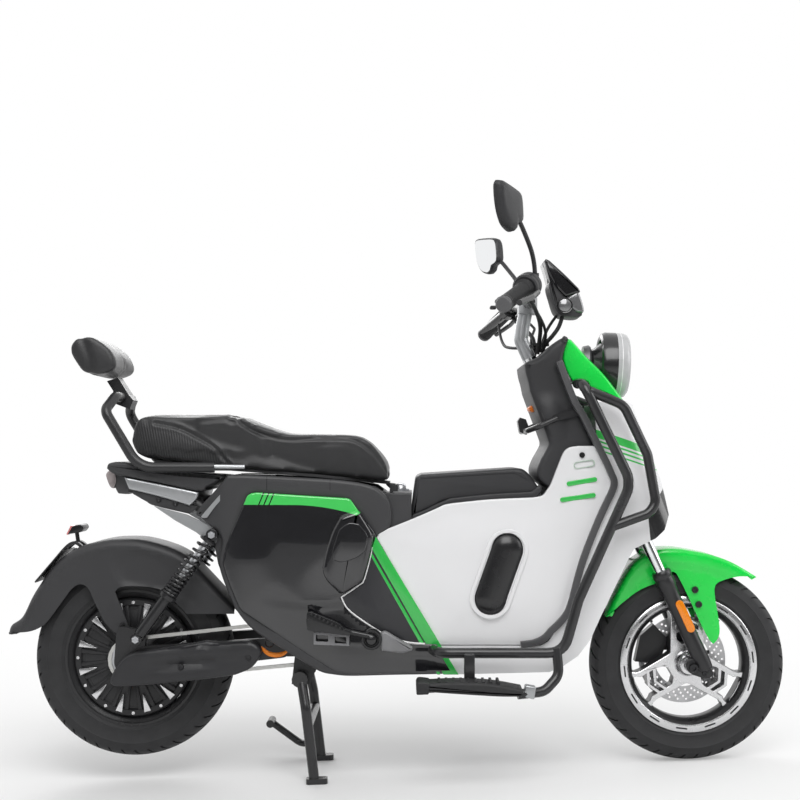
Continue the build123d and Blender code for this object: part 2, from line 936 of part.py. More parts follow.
gloss_outline = [
    (257, 574),
    (276, 598),
    (472, 588),
    (496, 559),
    (534, 512),
    (706, 207),
    (677, 206),
    (447, 206),
    (414, 216),
    (352, 253),
    (273, 304),
    (240, 342),
    (210, 447),
    (210, 470),
]
with BuildPart() as gloss_panel_right:
    with BuildSketch(Plane.XZ.offset(core_half)):
        Polygon(*gloss_outline, align=None)
    extrude(amount=gloss_thickness - gloss_bevel)
    with BuildSketch(Plane.XZ.offset(core_half + gloss_thickness - gloss_bevel)):
        Polygon(*gloss_outline, align=None)
    extrude(amount=gloss_bevel, taper=45)
pieces["gloss_panel_right"] = gloss_panel_right
with BuildPart() as gloss_panel_left:
    mirror(gloss_panel_right.part, about=Plane.XZ)
pieces["gloss_panel_left"] = gloss_panel_left

# White panels along the tunnel, ending at the crash bar line.
side_outline = [
    (535, 512),
    (548, 514),
    (610, 540),
    (663, 562),
    (693, 573),
    (889, 588),
    (907, 607),
    (931, 675),
    (943, 687),
    (963, 691),
    (994, 691),
    (1005, 684),
    (1030, 625),
    (1028, 598),
    (976, 450),
    (917, 301),
    (902, 278),
    (885, 268.3),
    (672, 268.3),
]
with BuildPart() as side_panel_right:
    with BuildSketch(Plane.XZ.offset(core_half)):
        Polygon(*side_outline, align=None)
    extrude(amount=panel_thickness)
pieces["side_panel_right"] = side_panel_right
with BuildPart() as side_panel_left:
    mirror(side_panel_right.part, about=Plane.XZ)
pieces["side_panel_left"] = side_panel_left

# Belly pan and the wrap-round nose in one shape, open behind and above.
nose_outline = [
    (1000, 786),
    (1070, 789),
    (1089, 781),
    (1148, 625),
    (1162, 546),
    (1150, 514),
    (1130, 496),
    (1084, 474),
    (1071, 450),
    (1014, 331),
    (991, 280),
    (965, 246),
    (934, 225),
    (904, 212),
    (707, 207),
    (673, 268),
    (885, 268),
    (902, 277),
    (918, 301),
    (977, 450),
    (1029, 598),
    (1031, 625),
    (1006, 684),
]
nose_inner = [
    (900, 800),
    (1068, 783),
    (1083, 776),
    (1142, 624),
    (1156, 547),
    (1143, 505),
    (1100, 440),
    (1100, 380),
    (1030, 350),
    (985, 285),
    (960, 253),
    (930, 232),
    (902, 219),
    (860, 218),
    (600, 218),
    (600, 500),
]
nose_plan = Plane(origin=(1089, 0, 781), x_dir=(156, 0, 59), z_dir=(-59, 0, 156))
nose_corner = 62
with BuildPart() as nose_cavity:
    with BuildSketch(Plane.XZ):
        Polygon(*nose_inner, align=None)
    extrude(amount=core_half, both=True)
    with BuildSketch(nose_plan):
        with Locations((-400, 0)):
            Rectangle(800 - 2 * wall, 2 * core_half)
        fillet(vertices().group_by(Axis.X)[-1], radius=nose_corner - panel_thickness)
    extrude(amount=900, both=True, mode=Mode.INTERSECT)
with BuildPart() as nose_panel:
    with BuildSketch(Plane.XZ):
        Polygon(*nose_outline, align=None)
    extrude(amount=core_half + panel_thickness, both=True)
    with BuildSketch(nose_plan):
        with Locations((-400, 0)):
            Rectangle(802, 2 * (core_half + panel_thickness))
        fillet(vertices().group_by(Axis.X)[-1], radius=nose_corner)
    extrude(amount=900, both=True, mode=Mode.INTERSECT)
    add(nose_cavity.part, mode=Mode.SUBTRACT)
    # Slot in the lower lip, where the fork legs swing
    with BuildSketch(Plane.XZ):
        Polygon((1100, 440), (1100, 500), (1144, 536), (1200, 536), (1200, 440), align=None)
    extrude(amount=leg_y - 4, both=True, mode=Mode.SUBTRACT)
pieces["nose_panel"] = nose_panel

# Tunnel cover between the rider's feet.
lid_outline = [
    (612, 536),
    (612, 580),
    (621, 617),
    (628, 627),
    (834, 645),
    (857, 637),
    (875, 618),
    (885, 602),
    (883, 584),
    (700, 571),
    (664, 559),
]
with BuildPart() as tunnel_lid:
    with BuildSketch(Plane.XZ):
        Polygon(*lid_outline, align=None)
    extrude(amount=core_half - 0.3, both=True)
    fillet(tunnel_lid.edges().filter_by(lambda e: e.center().Z > 615 and abs(e.center().Y) > 100), radius=14)
    with BuildSketch(Plane.XZ):
        with BuildLine():
            Polyline(
                (618, 530), (618, 575), (632, 620), (832, 638), (850, 630), (868, 610),
                (875, 570),
                close=True,
            )
        make_face()
    extrude(amount=core_half - 16, both=True, mode=Mode.SUBTRACT)
pieces["tunnel_lid"] = tunnel_lid

with BuildPart() as battery:
    with BuildSketch(Plane.XZ):
        with BuildLine():
            Polyline((640, 263), (834, 263), (834, 545), (640, 545), close=True)
        make_face()
    extrude(amount=75, both=True)
pieces["battery"] = battery

# ---------------------------------------------------------------- front body

with BuildPart() as leg_shield:
    with BuildSketch(Plane.XZ):
        with BuildLine():
            Polyline(
                (849, 868),
                (882, 884),
                (914, 913),
                (936, 924),
                (932, 902),
                (931, 880),
                (941, 848),
                (952, 829),
                (966, 823),
                (996, 812),
                (998, 786),
                (1012, 684),
                (1030, 625),
                (1028, 598),
                (1000, 520),
                (992, 500),
                (912, 500),
                (905, 606),
                (889, 590),
                (880, 640),
                (889, 668),
                (906, 693),
                (899, 717),
                (882, 759),
                (862, 811),
                (860, 831),
                close=True,
            )
        make_face()
    extrude(amount=core_half - 0.1, both=True)
    with BuildSketch(Plane.XZ):
        with BuildLine():
            Polyline(
                (857, 862),
                (885, 878),
                (917, 907),
                (925, 911),
                (925, 880),
                (935, 846),
                (948, 824),
                (964, 817),
                (1060, 806),
                (1060, 480),
                (918, 480),
                (912, 560),
                (912, 606),
                (896, 666),
                (913, 693),
                (905, 718),
                (888, 760),
                (868, 812),
                (866, 831),
                close=True,
            )
        make_face()
    extrude(amount=core_half - 0.1 - wall, both=True, mode=Mode.SUBTRACT)
    with BuildSketch(steering_plane(800)):
        Circle(44)
    extrude(amount=150, mode=Mode.SUBTRACT)
pieces["leg_shield"] = leg_shield

cowl_half = 96
headlight_x = 1077
headlight_z = 871
headlight_radius = 72.5
headlight_plane = Plane(origin=(headlight_x, 0, headlight_z), x_dir=(0, 1, 0), z_dir=(1, 0, -0.06))
neck_radius = 46
neck_depth = 48
with BuildPart() as front_cowl:
    with BuildSketch(Plane.XZ):
        with BuildLine():
            Polyline(
                (937, 926),
                (955, 931),
                (999, 889),
                (1040, 846),
                (1061, 820),
                (1075, 789.6),
                (1000, 786.7),
                (997, 812),
                (967, 826),
                (954, 832),
                (943, 851),
                (933, 880),
                (934, 902),
                close=True,
            )
        make_face()
    extrude(amount=cowl_half, both=True)
    top_edges = front_cowl.edges().filter_by(lambda e: e.center().Z > 830 and e.center().X > 958)
    chamfer(top_edges.filter_by(lambda e: abs(e.center().Y) > 90), length=12)
    with BuildSketch(headlight_plane.offset(-neck_depth - seat_gap)):
        Circle(neck_radius + seat_gap)
    extrude(amount=90, mode=Mode.SUBTRACT)
    with BuildSketch(headlight_plane.offset(-16 - seat_gap)):
        Circle(headlight_radius + seat_gap)
    extrude(amount=60, mode=Mode.SUBTRACT)
pieces["front_cowl"] = front_cowl

with BuildPart() as headlight:
    with BuildSketch(headlight_plane.offset(-16)):
        Circle(headlight_radius)
    extrude(amount=28)
    with BuildSketch(headlight_plane.offset(-neck_depth)):
        Circle(neck_radius)
    extrude(amount=neck_depth - 16)
pieces["headlight"] = headlight

# Crash bars: the main tube, the outer loop and the drop to the footrest.
crash_y = core_half + 64
crash_radius = 11
footrest_front_x = 838
lower_bar_points = [
    (896, -crash_y, 264),
    (914, -crash_y - 4, 246),
    (908, -crash_y - 10, 212),
    (886, -crash_y - 42, 190),
    (footrest_front_x + 0.6, -crash_y - 42, 188),
]
loop_points = [
    (983, -crash_y + 2, 800),
    (1052, -crash_y + 8, 780),
    (1076, -crash_y + 10, 752),
    (1121, -crash_y + 10, 632),
    (1122, -crash_y + 10, 576),
    (1103, -crash_y + 8, 548),
    (1040, -crash_y + 2, 548),
]
main_points = [
    (968, -core_half, 812),
    (968, -crash_y, 812),
    (1034, -crash_y, 690),
    (1064, -crash_y, 612),
    (1009, -crash_y, 475),
    (933, -crash_y, 315),
    (888, -crash_y, 262),
    (704, -crash_y, 261),
    (690, -crash_y + 20, 284),
    (690, -core_half - panel_thickness, 284),
]
with BuildPart() as crash_bar_right:
    with BuildLine() as main_path:
        FilletPolyline(*main_points, radius=[24, 40, 60, 60, 60, 60, 14, 14])
    with BuildSketch(Plane(origin=main_path.line @ 0, z_dir=main_path.line % 0)):
        Circle(crash_radius)
    sweep()
    with BuildLine() as loop_path:
        FilletPolyline(*loop_points, radius=[24, 24, 40, 24, 14])
    with BuildSketch(Plane(origin=loop_path.line @ 0, z_dir=loop_path.line % 0)):
        Circle(crash_radius - 1)
    sweep()
    with BuildLine() as lower_path:
        FilletPolyline(*lower_bar_points, radius=[14, 14, 14])
    with BuildSketch(Plane(origin=lower_path.line @ 0, z_dir=lower_path.line % 0)):
        Circle(crash_radius - 2)
    sweep()
    with BuildSketch(Plane.XZ.offset(crash_y + 4)):
        with BuildLine():
            Polyline((716, 266), (738, 266), (738, 214), (716, 214), close=True)
        make_face()
    extrude(amount=8)
    with BuildSketch(Plane.XZ.offset(crash_y + 4)):
        with Locations((727, 216)):
            Rectangle(22, 6)
    extrude(amount=26)
pieces["crash_bar_right"] = crash_bar_right
with BuildPart() as crash_bar_left:
    mirror(crash_bar_right.part, about=Plane.XZ)
pieces["crash_bar_left"] = crash_bar_left

with BuildPart() as footrest_right:
    with BuildSketch(Plane.XZ.offset(crash_y + 31)):
        with BuildLine():
            Polyline(
                (622, 204), (648, 213), (812, 207),
                (footrest_front_x, 198),
                (footrest_front_x, 172),
                (800, 176), (648, 190), (622, 194),
                close=True,
            )
        make_face()
    extrude(amount=58)
    with BuildSketch(Plane.XZ.offset(crash_y + 20)):
        with Locations((727, 204)):
            Rectangle(22, 18)
    extrude(amount=12)
pieces["footrest_right"] = footrest_right
with BuildPart() as footrest_left:
    mirror(footrest_right.part, about=Plane.XZ)
pieces["footrest_left"] = footrest_left

hook_half = core_half + 6
with BuildPart() as bag_hook:
    with BuildLine() as hook_path:
        FilletPolyline(
            (922, -hook_half, 752),
            (882, -hook_half, 734),
            (862, -92, 726),
            (862, 92, 726),
            (882, hook_half, 734),
            (922, hook_half, 752),
            radius=16,
        )
    with BuildSketch(Plane(origin=hook_path.line @ 0, z_dir=hook_path.line % 0)):
        Circle(6)
    sweep()
    with BuildSketch(Plane.XZ.offset(core_half)):
        with BuildLine():
            Polyline((906, 742), (912, 758), (980, 779), (975, 760), close=True)
        make_face()
    extrude(amount=6)
    mirror(about=Plane.XZ)
    with BuildSketch(Plane.XZ):
        with BuildLine():
            Polyline((850, 724), (846, 748), (851, 756), (864, 752), (872, 732), (866, 718), close=True)
        make_face()
    extrude(amount=16, both=True)
pieces["bag_hook"] = bag_hook

# Folded passenger pegs on their brackets.
peg_y = core_half + gloss_thickness
with BuildPart() as foot_pegs:
    with BuildSketch(Plane.XZ.offset(peg_y)):
        with BuildLine():
            Polyline((404, 290), (408, 302), (470, 310), (486, 300), (480, 272), (440, 268), close=True)
        make_face()
    extrude(amount=12)
    with BuildSketch(Plane.XZ.offset(peg_y + 12)):
        with BuildLine():
            Polyline((386, 344), (396, 346), (478, 310), (478, 294), (462, 290), (392, 322), close=True)
        make_face()
    extrude(amount=22)
    mirror(about=Plane.XZ)
pieces["foot_pegs"] = foot_pegs

# Pedal shaft boss with the chain running back to the hub.
crank_x = 527
crank_z = 282
chain_ring_radius = 46
chain_thickness = 5
with BuildPart() as pedal_shaft:
    with BuildSketch(Plane.XZ.offset(core_half + gloss_thickness)):
        with Locations((crank_x, crank_z)):
            Circle(21)
    extrude(amount=14)
    with BuildSketch(Plane.XZ.offset(core_half + gloss_thickness + 14)):
        with Locations((crank_x, crank_z)):
            Circle(12)
    extrude(amount=10)
    mirror(about=Plane.XZ)
pieces["pedal_shaft"] = pedal_shaft

chain_gap = 0.4
with BuildPart() as drive_chain:
    with BuildSketch(Plane.XZ.offset(-sprocket_y - 3)):
        with Locations((0, rear_axle_z)):
            Circle(sprocket_radius + chain_gap + chain_thickness)
        with Locations((crank_x, crank_z)):
            Circle(chain_ring_radius + chain_thickness)
        make_hull()
    extrude(amount=6)
    with BuildSketch(Plane.XZ.offset(-sprocket_y - 3)):
        with Locations((0, rear_axle_z)):
            Circle(sprocket_radius + chain_gap)
        with Locations((crank_x, crank_z)):
            Circle(chain_ring_radius)
        make_hull()
    extrude(amount=6, mode=Mode.SUBTRACT)
    with BuildSketch(Plane.XZ.offset(-sprocket_y - 3)):
        with Locations((crank_x, crank_z)):
            Circle(chain_ring_radius)
    extrude(amount=6)
    with BuildSketch(Plane.XZ.offset(-sprocket_y - 3)):
        with Locations((crank_x, crank_z)):
            Circle(9)
    extrude(amount=core_half - wall + sprocket_y + 3)
pieces["drive_chain"] = drive_chain

# ---------------------------------------------------------------- stand and seat

lean_up = (-sin(radians(lean)), 0, cos(radians(lean)))
foot_plane = Plane(
    origin=(foot_x, 0, foot_z),
    x_dir=(cos(radians(lean)), 0, sin(radians(lean))),
    z_dir=lean_up,
)
pivot_half = rail_y + 10
with BuildPart() as centre_stand:
    with BuildLine() as leg_path:
        FilletPolyline(
            (stand_pivot_x + 4, -pivot_half - 4, stand_pivot_z - 8),
            (stand_pivot_x + 14, -stand_half, stand_pivot_z - 60),
            (foot_x - 2, -stand_half, foot_z + 8),
            radius=30,
        )
    with BuildSketch(Plane(origin=leg_path.line @ 0, z_dir=leg_path.line % 0)):
        Circle(stand_tube_radius)
    sweep()
    with BuildSketch(foot_plane):
        with Locations((4, -stand_half)):
            RectangleRounded(46, 26, 8)
    extrude(amount=12)
    with BuildSketch(Plane.XZ.offset(pivot_half - 2)):
        with Locations((stand_pivot_x, stand_pivot_z)):
            Circle(17)
    extrude(amount=16)
    mirror(about=Plane.XZ)
    with BuildSketch(Plane.XZ):
        with Locations((stand_pivot_x + 18, stand_pivot_z - 96)):
            Circle(stand_tube_radius)
    extrude(amount=stand_half, both=True)
    with BuildSketch(Plane.XZ):
        with Locations((stand_pivot_x, stand_pivot_z)):
            Circle(pivot_radius + running_gap)
    extrude(amount=pivot_half, both=True, mode=Mode.SUBTRACT)
    # Foot lever on the left leg
    with BuildLine() as lever_line:
        FilletPolyline(
            (foot_x, stand_half, 8),
            (353, stand_half + 30, 2),
            (284, stand_half + 38, 50),
            radius=24,
        )
    with BuildSketch(Plane(origin=lever_line.line @ 0, z_dir=lever_line.line % 0)):
        Circle(8)
    sweep()
    with BuildSketch(Plane(origin=(284, stand_half + 38, 50), z_dir=(0, 1, 0))):
        Circle(9)
    extrude(amount=26, both=True)
pieces["centre_stand"] = centre_stand

seat_outline = [
    (-1, 696),
    (2, 740),
    (14, 760),
    (32, 765),
    (217, 761),
    (252, 753),
    (332, 725),
    (397, 719),
    (489, 717),
    (528, 703),
    (558, 664),
    (574, 624),
    (568, 614),
    (528, 619),
    (404, 632),
    (225, 645),
    (39, 666),
]
with BuildPart() as seat:
    with BuildSketch(Plane.XZ):
        Polygon(*seat_outline, align=None)
    extrude(amount=seat_half, both=True)
    # Narrower nose and tail in plan
    with BuildSketch(Plane.XY.offset(560)):
        with BuildLine():
            Spline((-4, -70), (40, -seat_half), (260, -seat_half), (440, -96), (560, -62), (580, -20))
            Line((580, -20), (580, 20))
            Spline((580, 20), (560, 62), (440, 96), (260, seat_half), (40, seat_half), (-4, 70))
            Line((-4, 70), (-4, -70))
        make_face()
    extrude(amount=260, mode=Mode.INTERSECT)
pieces["seat"] = seat

with BuildPart() as seat_base:
    with BuildSketch(Plane.XZ):
        Polygon(
            (60, 663), (225, 645), (404, 632), (528, 619), (564, 614.5), (562, 609),
            (528, 613), (404, 626), (225, 639), (60, 657),
            align=None,
        )
    extrude(amount=84, both=True)
    with BuildSketch(Plane.XY.offset(560)):
        with BuildLine():
            Polyline((0, -84), (440, -84), (570, -40), (570, 40), (440, 84), (0, 84), close=True)
        make_face()
    extrude(amount=260, mode=Mode.INTERSECT)
    with BuildSketch(Plane.XZ):
        with Locations((seat_hinge_x, seat_hinge_z)):
            Circle(8)
        with Locations((558, 609)):
            Circle(3)
        make_hull()
    extrude(amount=24, both=True)
    with BuildSketch(Plane.XZ):
        with Locations((seat_hinge_x, seat_hinge_z)):
            Circle(4 + running_gap)
    extrude(amount=40, both=True, mode=Mode.SUBTRACT)
pieces["seat_base"] = seat_base

# Front brake hose: from the left lever into the head opening, and from the
# lower yoke down to the caliper.
hose_radius = 3
with BuildPart() as brake_hose:
    with BuildLine() as upper_hose:
        FilletPolyline(
            (867, 189, 1001),
            (884, 150, 982),
            (894, 96, 962),
            (880, 42, 934),
            (882, 24, 892),
            (890, 20, 856),
            radius=[30, 40, 40, 40],
        )
    with BuildSketch(Plane(origin=upper_hose.line @ 0, z_dir=upper_hose.line % 0)):
        Circle(hose_radius)
    sweep()
    with BuildLine() as lower_hose:
        FilletPolyline(
            (1069, 34, 564.8), (1082, 58, 500), (1112, 84, 420), (1134, 76, 350),
            (1153, 46, 295.6),
            radius=[50, 50, 50],
        )
    with BuildSketch(Plane(origin=lower_hose.line @ 0, z_dir=lower_hose.line % 0)):
        Circle(hose_radius)
    sweep()
pieces["brake_hose"] = brake_hose

# ---------------------------------------------------------------- parked pose

# Lean the machine onto its front tyre and stand, then put the origin on the
# floor under the middle of the whole outline.
lean_down = Location((0, 0, 0), (0, lean, 0))
outline = Compound([lean_down * piece.part for piece in pieces.values()]).bounding_box()
parked = Location((-outline.center().X, 0, -outline.min.Z)) * lean_down

os.makedirs("parts", exist_ok=True)
for name, piece in pieces.items():
    stood = parked * piece.part
    stood.label = name
    export_step(stood, f"parts/{name}.step")
print(f"lean {lean:.3f} deg, moved x {-outline.center().X:.3f}, z {-outline.min.Z:.3f}")
print(f"pieces {len(pieces)}, size {outline.size}")
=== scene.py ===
import json
import math
import bpy
from mathutils import Matrix, Vector


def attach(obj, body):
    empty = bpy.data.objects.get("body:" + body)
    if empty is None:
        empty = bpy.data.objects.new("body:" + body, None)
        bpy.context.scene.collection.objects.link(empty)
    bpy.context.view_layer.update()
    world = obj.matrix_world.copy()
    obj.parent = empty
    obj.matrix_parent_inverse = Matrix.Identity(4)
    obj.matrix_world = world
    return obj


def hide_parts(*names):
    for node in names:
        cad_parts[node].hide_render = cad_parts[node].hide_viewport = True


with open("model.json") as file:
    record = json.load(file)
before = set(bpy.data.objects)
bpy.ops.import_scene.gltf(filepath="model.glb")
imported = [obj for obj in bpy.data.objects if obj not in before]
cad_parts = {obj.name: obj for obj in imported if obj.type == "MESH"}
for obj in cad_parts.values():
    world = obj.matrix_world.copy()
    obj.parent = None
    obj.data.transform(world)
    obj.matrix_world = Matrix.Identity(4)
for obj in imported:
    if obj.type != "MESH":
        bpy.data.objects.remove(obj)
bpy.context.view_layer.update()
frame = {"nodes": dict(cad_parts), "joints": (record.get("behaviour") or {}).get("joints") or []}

# The machine is drawn level, in metres from the rear axle's foot: x forward,
# y to the rider's left, z up. The two axles of the frame say how it leans on
# its stand, and every new piece is leaned with it when it is finished.
joints = {joint["name"]: joint for joint in frame["joints"]}
wheelbase = 1.2198
rear_axle = Vector((0, 0, 0.2278))
front_axle = Vector((wheelbase, 0, 0.2138))
parked_rear = Vector(joints["rear_wheel_spin"]["pos_m"])
parked_front = Vector(joints["front_wheel_spin"]["pos_m"])
level_slope = math.atan2(front_axle.z - rear_axle.z, wheelbase)
parked_slope = math.atan2(parked_front.z - parked_rear.z, parked_front.x - parked_rear.x)
lean = level_slope - parked_slope
leaned = Matrix.Rotation(lean, 4, "Y")
parked = Matrix.Translation(parked_rear - leaned @ rear_axle) @ leaned


def park(piece):
    """Leans a finished piece onto the stand, with its place kept in its mesh."""
    piece.data.transform(parked @ piece.matrix_world)
    piece.matrix_world = Matrix.Identity(4)
    return piece


def let_go():
    """Leaves nothing selected."""
    bpy.ops.object.select_all(action="DESELECT")


# Studio: a pale floor that fades into a white room, a broad soft lamp over the
# machine's right side, a weaker one from behind, and a long lens level with
# the seat.
camera = bpy.data.cameras.new("side_camera")
camera.sensor_width = 36
camera.lens = 60.75
camera.shift_x = -0.01375
camera.shift_y = 0.0625
camera_stand = bpy.data.objects.new("side_camera", camera)
bpy.context.collection.objects.link(camera_stand)
camera_stand.matrix_world = parked @ Matrix.Translation((0.610, -3.0, 0.6842)) @ Matrix.Rotation(math.pi / 2, 4, "X")
bpy.context.scene.camera = camera_stand
bpy.context.scene.view_settings.view_transform = "Standard"


class Wire:
    """A node socket in a finish. Sums on it add Math nodes, and node() adds any other node."""

    def __init__(self, tree, socket=None):
        self.tree = tree
        self.socket = socket

    def node(self, kind, settings, sockets, output=0):
        made = self.tree.nodes.new(kind)
        for key, value in settings.items():
            if key == "stops":
                for stop in value[2:]:
                    made.color_ramp.elements.new(stop[0])
                for element, stop in zip(made.color_ramp.elements, value):
                    element.position = stop[0]
                    element.color = stop[1]
            else:
                setattr(made, key, value)
        for key, value in sockets.items():
            if isinstance(value, Wire):
                self.tree.links.new(value.socket, made.inputs[key])
            else:
                made.inputs[key].default_value = value
        return Wire(self.tree, made.outputs[output])

    def maths(self, operation, *values, clamp=False):
        return self.node("ShaderNodeMath", {"operation": operation, "use_clamp": clamp}, dict(enumerate(values)))

    def __add__(self, other):
        return self.maths("ADD", self, other)

    def __sub__(self, other):
        return self.maths("SUBTRACT", self, other)

    def __mul__(self, other):
        return self.maths("MULTIPLY", self, other)

    def __truediv__(self, other):
        return self.maths("DIVIDE", self, other)

    def __rsub__(self, other):
        return self.maths("SUBTRACT", other, self)

    def __rtruediv__(self, other):
        return self.maths("DIVIDE", other, self)

    __radd__ = __add__
    __rmul__ = __mul__

    def size(self):
        return self.maths("ABSOLUTE", self)

    def past(self, edge, soft=0.0008):
        """1 where the value is past the edge and 0 short of it, over a soft step."""
        return self.maths("MULTIPLY_ADD", self - edge, 1 / soft, 0.5, clamp=True)

    def within(self, low, high, soft=0.0008):
        """1 between two edges."""
        return self.past(low, soft) * (1 - self.past(high, soft))

    def part(self, letter):
        return self.node("ShaderNodeSeparateXYZ", {}, {"Vector": self}, letter)

    def tint(self, first, second):
        """The first colour where this is 0 and the second where it is 1."""
        return self.node("ShaderNodeMix", {"data_type": "RGBA"}, {0: self, 6: first, 7: second}, 2)

    def noise(self, scale, detail=2.0, rough=0.5):
        sockets = {"Vector": self, "Scale": scale, "Detail": detail, "Roughness": rough}
        return self.node("ShaderNodeTexNoise", {}, sockets, "Fac")

    def stretched(self, x, y, z):
        return self.node("ShaderNodeMapping", {}, {"Vector": self, "Scale": (x, y, z)})


class Finish:
    """A material with one Principled shader, and the level machine's places to draw on."""

    def __init__(self, name, colour, roughness, **sockets):
        self.material = bpy.data.materials.new(name)
        self.material.use_nodes = True
        self.tree = self.material.node_tree
        self.shader = self.tree.nodes["Principled BSDF"]
        self.shader.inputs["Base Color"].default_value = (*colour, 1)
        self.shader.inputs["Roughness"].default_value = roughness
        for key, value in sockets.items():
            self.shader.inputs[key.replace("_", " ")].default_value = value
        row_place = Wire(self.tree).node("ShaderNodeTexCoord", {}, {}, "Object")
        turn = {"Vector": row_place, "Location": parked.to_translation(), "Rotation": (0, lean, 0)}
        self.place = row_place.node("ShaderNodeMapping", {"vector_type": "TEXTURE"}, turn)

    def feed(self, **wires):
        for key, wire in wires.items():
            self.tree.links.new(wire.socket, self.shader.inputs[key.replace("_", " ")])
        return self

    def bump(self, height, distance, strength=1.0):
        sockets = {"Strength": strength, "Distance": distance, "Height": height}
        return self.feed(Normal=self.place.node("ShaderNodeBump", {}, sockets, "Normal"))

    def on(self, piece):
        """Puts the finish in every slot of a piece."""
        if not piece.material_slots:
            piece.data.materials.append(self.material)
        for held in piece.material_slots:
            held.material = self.material
        return piece


def shades(colour, *factors):
    """A colour in several strengths, as shader colours."""
    return [(*(min(1, channel * factor) for channel in colour), 1) for factor in factors]


let_go()
floor_half = 9
bpy.ops.mesh.primitive_plane_add(size=2 * floor_half, location=(0, 0, 0))
studio_floor = bpy.context.object
studio_floor.name = "studio_floor"
floor_finish = Finish("floor_paint", (0.8, 0.8, 0.8), 0.9)
floor_reach = floor_finish.place.node("ShaderNodeVectorMath", {"operation": "LENGTH"}, {0: floor_finish.place}, "Value")
floor_tree = floor_finish.tree
white = floor_finish.place.node("ShaderNodeEmission", {}, {"Color": (1, 1, 1, 1), "Strength": 1.0})
fade = floor_reach.past(1.5, 1.5)
shown = floor_finish.place.node("ShaderNodeLightPath", {}, {}, "Is Camera Ray")
painted = Wire(floor_tree, floor_finish.shader.outputs[0])
whitened = fade.node("ShaderNodeMixShader", {}, {0: fade * shown, 1: painted, 2: white})
floor_tree.links.new(whitened.socket, floor_tree.nodes["Material Output"].inputs["Surface"])
floor_finish.on(studio_floor)

world = bpy.data.worlds.new("white_room")
world.use_nodes = True
bpy.context.scene.world = world
room = Wire(world.node_tree)
rays = {kind: room.node("ShaderNodeLightPath", {}, {}, kind) for kind in ("Is Camera Ray", "Is Glossy Ray", "Is Transmission Ray")}
direction = room.node("ShaderNodeTexCoord", {}, {}, "Generated")
up = direction.part("Z")
curtain = (0 - direction.part("Y")).past(0.42, 0.5) * (1 - up.past(0.50, 0.35))
mirrored = rays["Is Glossy Ray"].maths("MAXIMUM", rays["Is Glossy Ray"], rays["Is Transmission Ray"])
soft_light = 0.52 + up * 0.22
room_light = (soft_light + (1 - soft_light) * mirrored) * (1 - curtain * 0.86)
shown_light = room_light + (1 - room_light) * rays["Is Camera Ray"]
backdrop = world.node_tree.nodes["Background"]
backdrop.inputs["Color"].default_value = (1, 1, 1, 1)
world.node_tree.links.new(shown_light.socket, backdrop.inputs["Strength"])

lamps = {
    "key_lamp": ((0.1, -2.6, 2.9), (0, 0, 0.5), 2.4, 84),
    "back_lamp": ((-0.9, 2.6, 2.3), (0, 0, 0.5), 2.0, 40),
    "front_lamp": ((3.0, -0.6, 1.6), (0, 0, 0.5), 1.6, 22),
}
for name, (spot, target, width, power) in lamps.items():
    lamp = bpy.data.lights.new(name, "AREA")
    lamp.size = width
    lamp.energy = power
    lamp_stand = bpy.data.objects.new(name, lamp)
    bpy.context.collection.objects.link(lamp_stand)
    aim = (Vector(target) - Vector(spot)).to_track_quat("-Z", "Y")
    lamp_stand.matrix_world = Matrix.Translation(spot) @ aim.to_matrix().to_4x4()


# The frame: welded steel tubes with the head tube, the rails and the brackets,
# shot-blasted and powder coated black. Everything else is bolted to it.
def powder_coat(name, colour, roughness):
    """Baked powder paint: a faint orange peel, and a little dust in its shine."""
    coat = Finish(name, colour, roughness, Specular_IOR_Level=0.45)
    peel = coat.place.noise(420, 3)
    dust = coat.place.noise(14, 4)
    dark, light = shades(colour, 0.75, 1.7)
    coat.feed(Base_Color=dust.tint(dark, light), Roughness=roughness + (dust - 0.5) * 0.22)
    return coat.bump(peel, 0.0005, 0.35)


black_coat = powder_coat("black_powder_coat", (0.017, 0.017, 0.018), 0.36)
for node in ("main_frame", "swingarm", "battery"):
    black_coat.on(frame["nodes"][node])


def flow(*stretches, steps=5):
    """One outline from stretches of points: a stretch of three or more is a smooth curve, two are a straight edge."""
    outline = []
    for stretch in stretches:
        ends = [stretch[0], *stretch, stretch[-1]]
        for a, b, c, d in zip(ends, ends[1:], ends[2:], ends[3:]):
            for step in range(steps if len(stretch) > 2 else 1):
                t = step / steps
                weights = (-t + 2 * t * t - t**3, 2 - 5 * t * t + 3 * t**3, t + 4 * t * t - 3 * t**3, t**3 - t * t)
                outline.append(tuple(sum(w * p[i] for w, p in zip(weights, (a, b, c, d))) / 2 for i in range(len(a))))
        outline.append(tuple(stretch[-1]))
    kept = [point for i, point in enumerate(outline) if math.dist(point, outline[i - 1]) > 0.0004]
    return kept


def started(name):
    """Names the primitive that was just added."""
    piece = bpy.context.object
    piece.name = name
    piece.data.name = name
    return piece


def ring(name, places, face=False):
    """A closed outline, or a flat face, with a corner at each place."""
    let_go()
    bpy.ops.mesh.primitive_circle_add(vertices=len(places), radius=1, fill_type="NGON" if face else "NOTHING")
    piece = started(name)
    for corner, place in zip(piece.data.vertices, places):
        corner.co = place
    return piece


